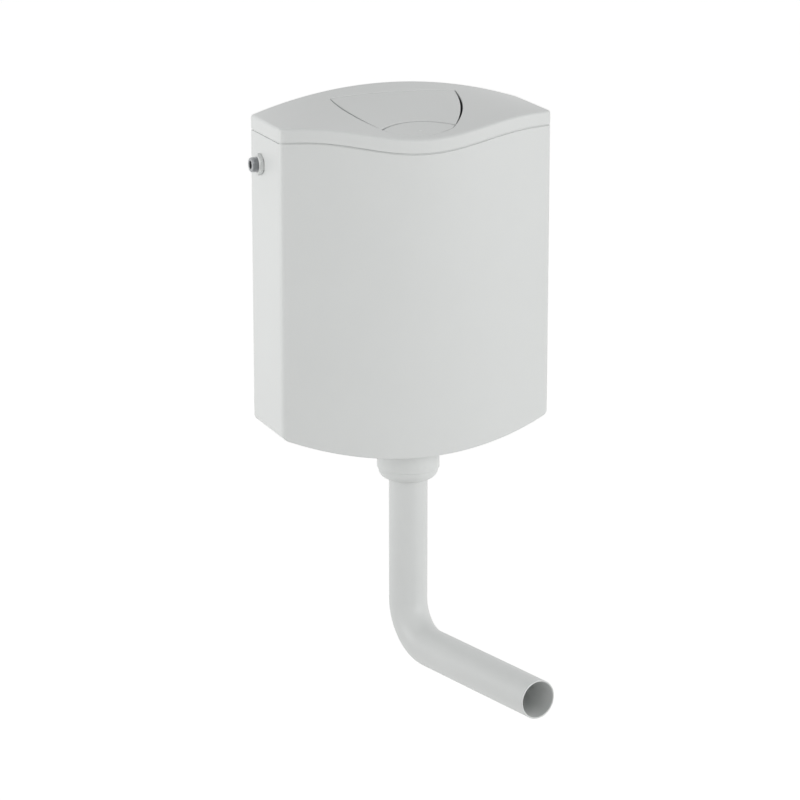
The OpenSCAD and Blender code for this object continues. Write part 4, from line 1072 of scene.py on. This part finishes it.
class CISTERN_OT_buttons(bpy.types.Operator):
    """Moulds the two flush buttons, which follow the lid's saddle, with their lugs, post and stem"""

    bl_idname = "cistern.buttons"
    bl_label = "Flush buttons"

    def plate(self, form, outline, start):
        """Rings of a button: a dished top with a rounded edge, a side and an underside."""
        buttons = form.buttons
        angles = stations(outline(0), start)
        hub = [(start[0], start[1], 0)] * len(angles)

        def level(drop):
            return lambda x, y: form.lid_top(x, y) - buttons.recess - drop

        brim = round_edge(buttons.edge_r, 4)
        foot = round_edge(0.3 * MM, 2)
        top = ring(outline(brim[-1][0]), start, angles, level(0))
        shares = HUB_SHARES + [k / 12 for k in range(1, 12)]
        rings = [between(hub, top, share, level(0)) for share in shares]
        rings += [ring(outline(e), start, angles, level(d)) for e, d in reversed(brim)]
        rings += [ring(outline(e), start, angles, level(buttons.thick - d)) for e, d in foot]
        low = rings[-1]
        shares = HUB_SHARES + [k / 8 for k in range(1, 8)]
        rings += [between(hub, low, share, level(buttons.thick)) for share in reversed(shares)]
        return rings

    def execute(self, context):
        settings = context.scene.cistern
        form = CisternForm(settings)
        sizes = settings.buttons
        # Lugs, post and stem end in the middle of the plates
        middle = sizes.recess + sizes.thick / 2

        def pin(name, place, r, low, tip_r, steps):
            top = form.lid_top(*place) - middle
            profile = [(r - e, low + d) for e, d in reversed(round_edge(tip_r, 4))] + [(r, top)]
            return mesh_of(name, lathe(profile, place, steps, "z"), False)

        hub = (0.0, -50 * MM)
        full = solid("full_flush_plate", self.plate(form, form.full_button, hub), False)
        hinge_top = form.lid_top(sizes.hinge_x, -sizes.hinge_y)
        hinge = (-sizes.hinge_y, hinge_top - sizes.hinge_low)
        post = (sizes.post_x, -sizes.post_y)
        extras = [pin("post", post, sizes.post_r, FULL_BUTTON_LOW.z, sizes.post_r * 0.6, 40)]

        # A lug is round below the hinge, over 250 degrees, and narrows a little towards the plate. It ends
        # a little below the plate's middle.
        lug_r = sizes.lug_r
        lug_short = 0.6 * MM
        lug_top = hinge_top - middle - lug_short - hinge[1]
        neck = lug_r * 0.75
        turns = [math.radians(35 - 250 * k / 24) for k in range(25)]
        section = [(neck, lug_top)]
        section += [(lug_r * math.cos(a), lug_r * math.sin(a)) for a in turns]
        section += [(-neck, lug_top)]
        for side in (-1, 1):
            ends = [
                [(side * sizes.hinge_x + end, hinge[0] + y, hinge[1] + z) for y, z in section]
                for end in (-sizes.lug_w / 2, sizes.lug_w / 2)
            ]
            extras.append(mesh_of("lug", ends, False))
        combine(full, extras, "UNION")
        bore = [(sizes.hinge_bore, -form.half / 2), (sizes.hinge_bore, form.half / 2)]
        combine(full, [mesh_of("bore", lathe(bore, hinge, 48, "x"), False)], "DIFFERENCE")
        dress(full, "full_flush_button", settings)

        stem = (0.0, -sizes.stem_y)
        half = solid("half_flush_plate", self.plate(form, form.half_button, stem), False)
        combine(half, [pin("stem", stem, sizes.stem_r, HALF_BUTTON_LOW.z, 1 * MM, 56)], "UNION")
        dress(half, "half_flush_button", settings)
        return {"FINISHED"}


class CISTERN_OT_flush_pipe(bpy.types.Operator):
    """Sweeps the flush bend: an upright leg, a bend and a level leg, open at both ends"""

    bl_idname = "cistern.flush_pipe"
    bl_label = "Flush bend"

    def execute(self, context):
        settings = context.scene.cistern
        pipe = settings.pipe
        outer = pipe.diameter / 2
        inner = outer - pipe.wall
        leg_z = PIPE_LOW.z + outer
        swing = pipe.swing
        ahead = Vector((math.sin(swing), -math.cos(swing), 0))
        aside = Vector((math.cos(swing), math.sin(swing), 0))
        up = Vector((0, 0, 1))
        axis = Vector((0, -settings.tank.outlet_y, 0))
        bend_top = leg_z + pipe.bend_r
        steps = 72

        # Places along the axis: a centre, the direction across the pipe in the bend's plane, and the length
        # so far
        path = []
        upright = PIPE_HIGH.z - bend_top
        for k in range(7):
            path.append((axis + up * (PIPE_HIGH.z - upright * k / 6), ahead, upright * k / 6))
        for k in range(1, 21):
            a = math.pi / 2 * k / 20
            out = pipe.bend_r * (1 - math.cos(a))
            height = bend_top - pipe.bend_r * math.sin(a)
            across = ahead * math.cos(a) + up * math.sin(a)
            path.append((axis + ahead * out + up * height, across, upright + pipe.bend_r * a))
        leg = pipe.reach - pipe.bend_r
        start, across, so_far = path[-1]
        for k in range(1, 9):
            path.append((start + ahead * (leg * k / 8), across, so_far + leg * k / 8))

        def hoop(place, r, back):
            centre, across, _ = place
            against = across.cross(aside)
            points = []
            for k in range(steps):
                a = math.tau * k / steps
                points.append(centre + against * back + (aside * math.cos(a) + across * math.sin(a)) * r)
            return points

        # Hoops down the outside and back up the bore: a place on the path, a radius, and how far the hoop
        # lies back against the run of the pipe
        lip = round_edge(pipe.wall * 0.35, 3)
        top, between_ends, end = path[0], path[1:-1], path[-1]
        rows = [(top, outer - e, -d) for e, d in reversed(lip)]
        rows += [(place, outer, 0.0) for place in between_ends]
        rows += [(end, outer - e, d) for e, d in lip]
        rows += [(end, inner + e, d) for e, d in reversed(lip)]
        rows += [(place, inner, 0.0) for place in reversed(between_ends)]
        rows += [(top, inner + e, -d) for e, d in lip]
        piece = solid("flush_bend", [hoop(*row) for row in rows], True)
        unroll(piece.data, steps, [place[2] for place, _, _ in rows], outer)
        dress(piece, "flush_pipe", settings)
        return {"FINISHED"}


def unroll(mesh, steps, lengths, r):
    """UV map in metres: round the pipe and along it."""
    layer = mesh.uv_layers.new(name="lengthwise")
    for face in mesh.polygons:
        columns = [mesh.loops[k].vertex_index % steps for k in face.loop_indices]
        wraps = max(columns) - min(columns) > 1
        for k, column in zip(face.loop_indices, columns):
            row = mesh.loops[k].vertex_index // steps
            step = column + steps if wraps and column == 0 else column
            layer.data[k].uv = (math.tau * r * step / steps, lengths[row])


class CISTERN_OT_outlet_nuts(bpy.types.Operator):
    """Turns the union nut with its bead and round shoulder, and the twelve-sided lock nut above it"""

    bl_idname = "cistern.outlet_nuts"
    bl_label = "Outlet nuts"

    def execute(self, context):
        settings = context.scene.cistern
        pipe = settings.pipe
        place = (0.0, -settings.tank.outlet_y)
        top = UNION_HIGH.z
        low = UNION_LOW.z + pipe.shoulder_up
        skirt_in = (LOCKNUT_HIGH.x - LOCKNUT_LOW.x) / 2 + pipe.skirt_gap
        skirt_top = LOCKNUT_HIGH.z - pipe.skirt_gap
        bead_r = (UNION_HIGH.x - UNION_LOW.x) / 2
        body_r = bead_r - pipe.bead_t
        hole = pipe.diameter / 2 + pipe.pipe_gap
        shoulder = body_r - hole
        soft = round_edge(0.8 * MM, 4)
        fine = round_edge(FINE_R, 2)
        profile = [(pipe.nut_bore + e, top - d) for e, d in fine]
        profile += [(skirt_in, top)]
        profile += [(skirt_in + e, skirt_top - d) for e, d in fine]
        profile += [(bead_r - e, skirt_top - d) for e, d in reversed(soft)]
        profile += [(bead_r - e, top - pipe.bead_h + d) for e, d in soft]
        profile += [(body_r, low + shoulder)]
        for k in range(1, 13):
            a = math.pi / 2 * k / 12
            profile.append((hole + shoulder * math.cos(a), low + shoulder - shoulder * math.sin(a)))
        seal = top - pipe.seal_h
        profile += [(hole, low + 0.3 * MM), (hole, seal), (pipe.nut_bore, seal)]
        piece = solid("union_nut_turned", lathe(profile, place, 120, "z"), True)
        dress(piece, "union_nut", settings)

        corner_r = max(LOCKNUT_HIGH.x - LOCKNUT_LOW.x, LOCKNUT_HIGH.y - LOCKNUT_LOW.y) / 2
        ends = (LOCKNUT_LOW.z, LOCKNUT_HIGH.z)
        rings = nut_rings(pipe.locknut_sides, corner_r, pipe.nut_bore, ends, place, "z", 0.0)
        piece = solid("outlet_locknut_moulded", rings, True)
        dress(piece, "outlet_locknut", settings)
        return {"FINISHED"}


def nut_rings(sides, corner_r, bore, ends, place, along, first):
    """Rings of a nut with chamfered corners and a bore: first is the angle of one corner."""
    low, high = ends
    flat_r = corner_r * math.cos(math.pi / sides)
    slope = math.tan(math.radians(30))

    def row(limit, h):
        def radius(a):
            off = (a - first) % (math.tau / sides) - math.pi / sides
            return min(limit, flat_r / math.cos(off))

        return turned(radius, h, place, sides * 8, along, first)

    # The chamfer is a cone that cuts the corners, and meets the face just inside the flats
    face_r = flat_r - FINE_R
    drops = [(corner_r - face_r) * slope * k / 4 for k in range(5)]
    rings = [row(bore, high - FINE_R), row(bore + FINE_R, high)]
    rings += [row(face_r + d / slope, high - d) for d in drops]
    rings += [row(face_r + d / slope, low + d) for d in reversed(drops)]
    rings += [row(bore + FINE_R, low), row(bore, low + FINE_R)]
    return rings


class CISTERN_OT_inlet(bpy.types.Operator):
    """Turns the inlet shank with its thread, its nut, and the plug of the unused hole on the right"""

    bl_idname = "cistern.inlet"
    bl_label = "Inlet and plug"

    def shank_rings(self, inlet, flange):
        """Rings of the shank, from the outer end inwards: flange is where its flange begins."""
        outer_r = inlet.thread_d / 2
        depth = inlet.thread_depth
        bore = inlet.bore / 2
        start = SHANK_LOW.x + inlet.end_cut
        flange_end = flange + inlet.flange_t

        def row(r, x):
            return turned(r, x, INLET_AXIS, 64, "x")

        # The thread's end is turned to a cone that begins just below its root
        cone_r = outer_r - depth * 1.1
        cone_slope = 0.8

        def thread(x):
            chamfer = cone_r + (x - start) * cone_slope

            def radius(a):
                phase = (x - start) / inlet.pitch - a / math.tau
                return min(outer_r - depth / 2 + depth / 2 * math.cos(math.tau * phase), chamfer)

            return row(radius, x)

        fine = round_edge(FINE_R, 2)
        rings = [row(bore + e, start + d) for e, d in round_edge(0.5 * MM, 2)]
        count = math.ceil((flange - start) / (inlet.pitch / 10))
        rings += [thread(start + (flange - start) * k / count) for k in range(count + 1)]
        rings += [row(inlet.flange_r - e, flange + d) for e, d in reversed(fine)]
        rings += [row(inlet.flange_r - e, flange_end - d) for e, d in fine]
        rings.append(row(inlet.spigot_r, flange_end))
        rings += [row(inlet.spigot_r - e, SHANK_HIGH.x - d) for e, d in fine]
        rings.append(row(bore, SHANK_HIGH.x))
        return rings

    def plug_profile(self, inlet):
        """Profile of the blanking plug, from its dished face round to the hollow of its shaft."""
        face = PLUG_HIGH.x
        flange_r = (PLUG_HIGH.y - PLUG_LOW.y) / 2
        wall_x = face - inlet.plug_flange_t
        hub_r = 2 * MM
        dish = 0.5 * MM
        hollow = wall_x - 1 * MM
        fine = round_edge(FINE_R, 2)
        profile = [(hub_r, face - dish), (flange_r * 0.62, face - dish), (flange_r * 0.68, face)]
        profile += [(flange_r - e, face - d) for e, d in reversed(round_edge(1.2 * MM, 5))]
        profile += [(flange_r - e, wall_x + d) for e, d in fine]
        profile += [(inlet.plug_r, wall_x)]
        profile += [(inlet.plug_r - e, PLUG_LOW.x + d) for e, d in round_edge(0.8 * MM, 3)]
        profile += [(inlet.plug_bore + e, PLUG_LOW.x + d) for e, d in reversed(fine)]
        profile += [(inlet.plug_bore, hollow), (hub_r, hollow)]
        return profile

    def execute(self, context):
        settings = context.scene.cistern
        tank, inlet = settings.tank, settings.inlet
        flange = -tank.width / 2 + tank.wall + inlet.washer_t
        piece = solid("inlet_shank_turned", self.shank_rings(inlet, flange), True)
        dress(piece, "inlet_shank", settings)

        # The nut's box is longer from corner to corner than across its flats
        deep = INLET_NUT_HIGH.y - INLET_NUT_LOW.y
        tall = INLET_NUT_HIGH.z - INLET_NUT_LOW.z
        first = math.pi / 2 if tall > deep else 0.0
        bore = inlet.thread_d / 2 + inlet.nut_gap
        ends = (INLET_NUT_LOW.x - inlet.nut_proud, INLET_NUT_HIGH.x)
        rings = nut_rings(6, max(deep, tall) / 2, bore, ends, INLET_AXIS, "x", first)
        piece = solid("inlet_nut_moulded", rings, True)
        dress(piece, "inlet_nut", settings)

        rings = lathe(self.plug_profile(inlet), INLET_AXIS, 72, "x")
        piece = solid("blanking_plug_moulded", rings, False)
        dress(piece, "blanking_plug", settings)
        return {"FINISHED"}


class CISTERN_OT_works(bpy.types.Operator):
    """Gives the valves, levers, floats, seals and the liner inside the tank their finishes"""

    bl_idname = "cistern.works"
    bl_label = "Inner works"

    def smooth_faces(self):
        """Modifier tree that joins the faces of a solid and keeps only its sharp edges sharp."""
        tree = bpy.data.node_groups.new("Smooth_faces", "GeometryNodeTree")
        tree.interface.new_socket("Geometry", in_out="INPUT", socket_type="NodeSocketGeometry")
        tree.interface.new_socket("Geometry", in_out="OUTPUT", socket_type="NodeSocketGeometry")
        source = add(tree, "NodeGroupInput")
        whole = add(
            tree,
            "GeometryNodeMergeByDistance",
            {"Geometry": source.outputs["Geometry"], "Distance": 0.002 * MM},
        )
        soft = add(
            tree,
            "GeometryNodeSetShadeSmooth",
            {"Geometry": whole.outputs["Geometry"], "Shade Smooth": True},
        )
        bend = add(tree, "GeometryNodeInputMeshEdgeAngle")
        sharp = add(
            tree,
            "FunctionNodeCompare",
            {"A": bend.outputs["Unsigned Angle"], "B": SHARP_ANGLE},
            data_type="FLOAT",
            operation="GREATER_THAN",
        )
        edges = add(
            tree,
            "GeometryNodeSetShadeSmooth",
            {
                "Geometry": soft.outputs["Geometry"],
                "Selection": sharp.outputs["Result"],
                "Shade Smooth": False,
            },
            domain="EDGE",
        )
        add(tree, "NodeGroupOutput", {"Geometry": edges.outputs["Geometry"]})
        return tree

    def execute(self, context):
        settings = context.scene.cistern
        tree = self.smooth_faces()
        dressed = {node for piece in bpy.data.objects for node in piece.get("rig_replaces", [])}
        for node, piece in frame["nodes"].items():
            if node in dressed:
                continue
            piece.data.materials.clear()
            piece.data.materials.append(finish_for(node, settings))
            modifier = piece.modifiers.new("smooth_faces", "NODES")
            modifier.node_group = tree
        return {"FINISHED"}


class CISTERN_OT_stage(bpy.types.Operator):
    """Sets the pale floor, the soft light, the white surroundings and the camera"""

    bl_idname = "cistern.stage"
    bl_label = "Floor, light and camera"

    white = (1, 1, 1, 1)

    def white_rays(self, tree):
        """1 for rays from the camera, or by way of gloss or glass, and 0 for light that falls on things."""
        path = add(tree, "ShaderNodeLightPath")
        seen = path.outputs["Is Camera Ray"]
        for other in ("Is Glossy Ray", "Is Transmission Ray"):
            more = add(tree, "ShaderNodeMath", {0: seen, 1: path.outputs[other]}, operation="MAXIMUM")
            seen = more.outputs["Value"]
        return seen

    def matt_paint(self, settings):
        """Matt floor paint with a faint cloudiness. The camera sees it lifted to white, less the shadow."""
        material, tree = new_material("Floor_matt_paint")
        place = add(tree, "ShaderNodeTexCoord").outputs["Object"]
        cloud = add(tree, "ShaderNodeTexNoise", {"Vector": place, "Scale": per_metre(800), "Detail": 2.0})
        glow = add(
            tree,
            "ShaderNodeMath",
            {0: self.white_rays(tree), 1: settings.stage.floor_glow},
            operation="MULTIPLY",
        )
        return surfaced(material, {
            "Base Color": shades(tree, settings.finishes.floor, 0.004, cloud.outputs["Fac"]),
            "Roughness": 0.9,
            "Emission Color": self.white,
            "Emission Strength": glow.outputs["Value"],
        })

    def floor(self, settings):
        """Level painted floor, far below the cistern."""
        stage = settings.stage
        half = stage.floor_half
        corners = [(-half, -half), (half, -half), (half, half), (-half, half)]
        mesh = bpy.data.meshes.new("studio_floor")
        mesh.from_pydata([(x, y, stage.floor_z) for x, y in corners], [], [(0, 1, 2, 3)])
        mesh.materials.append(self.matt_paint(settings))
        floor = new_object("studio_floor", mesh)

    def surroundings(self, context, stage):
        """White all round for the camera and for reflections, and a softer even light on the piece."""
        world = context.scene.world or bpy.data.worlds.new("Studio")
        context.scene.world = world
        world.use_nodes = True
        tree = world.node_tree
        tree.nodes.clear()
        place = add(tree, "ShaderNodeTexCoord").outputs["Generated"]
        way = add(tree, "ShaderNodeSeparateXYZ", {"Vector": place})
        even = add(
            tree,
            "ShaderNodeMapRange",
            {"Value": way.outputs["Z"], "To Min": stage.ambient, "To Max": stage.overhead},
        )
        strength = add(
            tree,
            "ShaderNodeMapRange",
            {"Value": self.white_rays(tree), "To Min": even.outputs["Result"], "To Max": 1.0},
        )
        light = add(
            tree, "ShaderNodeBackground", {"Color": self.white, "Strength": strength.outputs["Result"]}
        )
        add(tree, "ShaderNodeOutputWorld", {"Surface": light.outputs["Background"]})

    def lamp(self, name, place, aim, watts, side, spread):
        """Soft square light panel that faces a point."""
        data = bpy.data.lights.new(name, "AREA")
        data.shape = "RECTANGLE"
        data.size = side
        data.size_y = side
        data.energy = watts
        data.spread = math.radians(spread)
        lamp = new_object(name, data)
        lamp.location = place
        lamp.rotation_euler = (Vector(aim) - Vector(place)).to_track_quat("-Z", "Y").to_euler()
        lamp.visible_camera = False

    def execute(self, context):
        settings = context.scene.cistern
        stage = settings.stage
        self.floor(settings)
        self.surroundings(context, stage)
        # Each lamp's place, the point it faces, its power, the length of its sides, its spread in degrees
        self.lamp("left_panel", (-1.6, 0.25, 0.05), (-0.16, -0.05, -0.1), stage.left_watts, 0.8, 60)
        self.lamp("right_panel", (1.75, -2.35, 0.4), (0.05, -0.1, -0.2), stage.right_watts, 1.6, 180)
        data = bpy.data.cameras.new("camera")
        data.lens = stage.lens
        camera = new_object("camera", data)
        camera.location = (stage.camera_x, stage.camera_y, stage.camera_z)
        camera.rotation_euler = (stage.camera_pitch, 0, stage.camera_yaw)
        context.scene.camera = camera
        context.scene.view_settings.view_transform = "Standard"
        return {"FINISHED"}


OPERATORS = (
    CISTERN_OT_tank,
    CISTERN_OT_lid,
    CISTERN_OT_buttons,
    CISTERN_OT_flush_pipe,
    CISTERN_OT_outlet_nuts,
    CISTERN_OT_inlet,
    CISTERN_OT_works,
    CISTERN_OT_stage,
)


class CISTERN_PT_panel(bpy.types.Panel):
    """Sidebar panel with the cistern's pieces and sizes"""

    bl_idname = "CISTERN_PT_panel"
    bl_label = "Wall-hung cistern"
    bl_space_type = "VIEW_3D"
    bl_region_type = "UI"
    bl_category = "Cistern"

    def own(self, group):
        """Names of a group's settings, without those that every group has."""
        return [name for name in group.bl_rna.properties.keys() if name not in ("rna_type", "name")]

    def draw(self, context):
        settings = context.scene.cistern
        for operator in OPERATORS:
            self.layout.operator(operator.bl_idname)
        for group in self.own(settings):
            box = self.layout.box()
            box.label(text=group.capitalize())
            sizes = getattr(settings, group)
            for name in self.own(sizes):
                box.prop(sizes, name)


CLASSES = (
    TankSizes,
    LidSizes,
    ButtonSizes,
    PipeSizes,
    InletSizes,
    Finishes,
    StageSizes,
    CisternSettings,
    *OPERATORS,
    CISTERN_PT_panel,
)


def register():
    """Adds the classes and the settings to Blender."""
    for item in CLASSES:
        bpy.utils.register_class(item)
    bpy.types.Scene.cistern = PointerProperty(type=CisternSettings)


def unregister():
    """Takes the classes and the settings out of Blender."""
    del bpy.types.Scene.cistern
    for item in reversed(CLASSES):
        bpy.utils.unregister_class(item)


def main():
    """Builds every piece and the stage."""
    register()
    bpy.ops.cistern.tank()
    bpy.ops.cistern.lid()
    bpy.ops.cistern.buttons()
    bpy.ops.cistern.flush_pipe()
    bpy.ops.cistern.outlet_nuts()
    bpy.ops.cistern.inlet()
    bpy.ops.cistern.works()
    bpy.ops.cistern.stage()


if __name__ == "__main__":
    main()
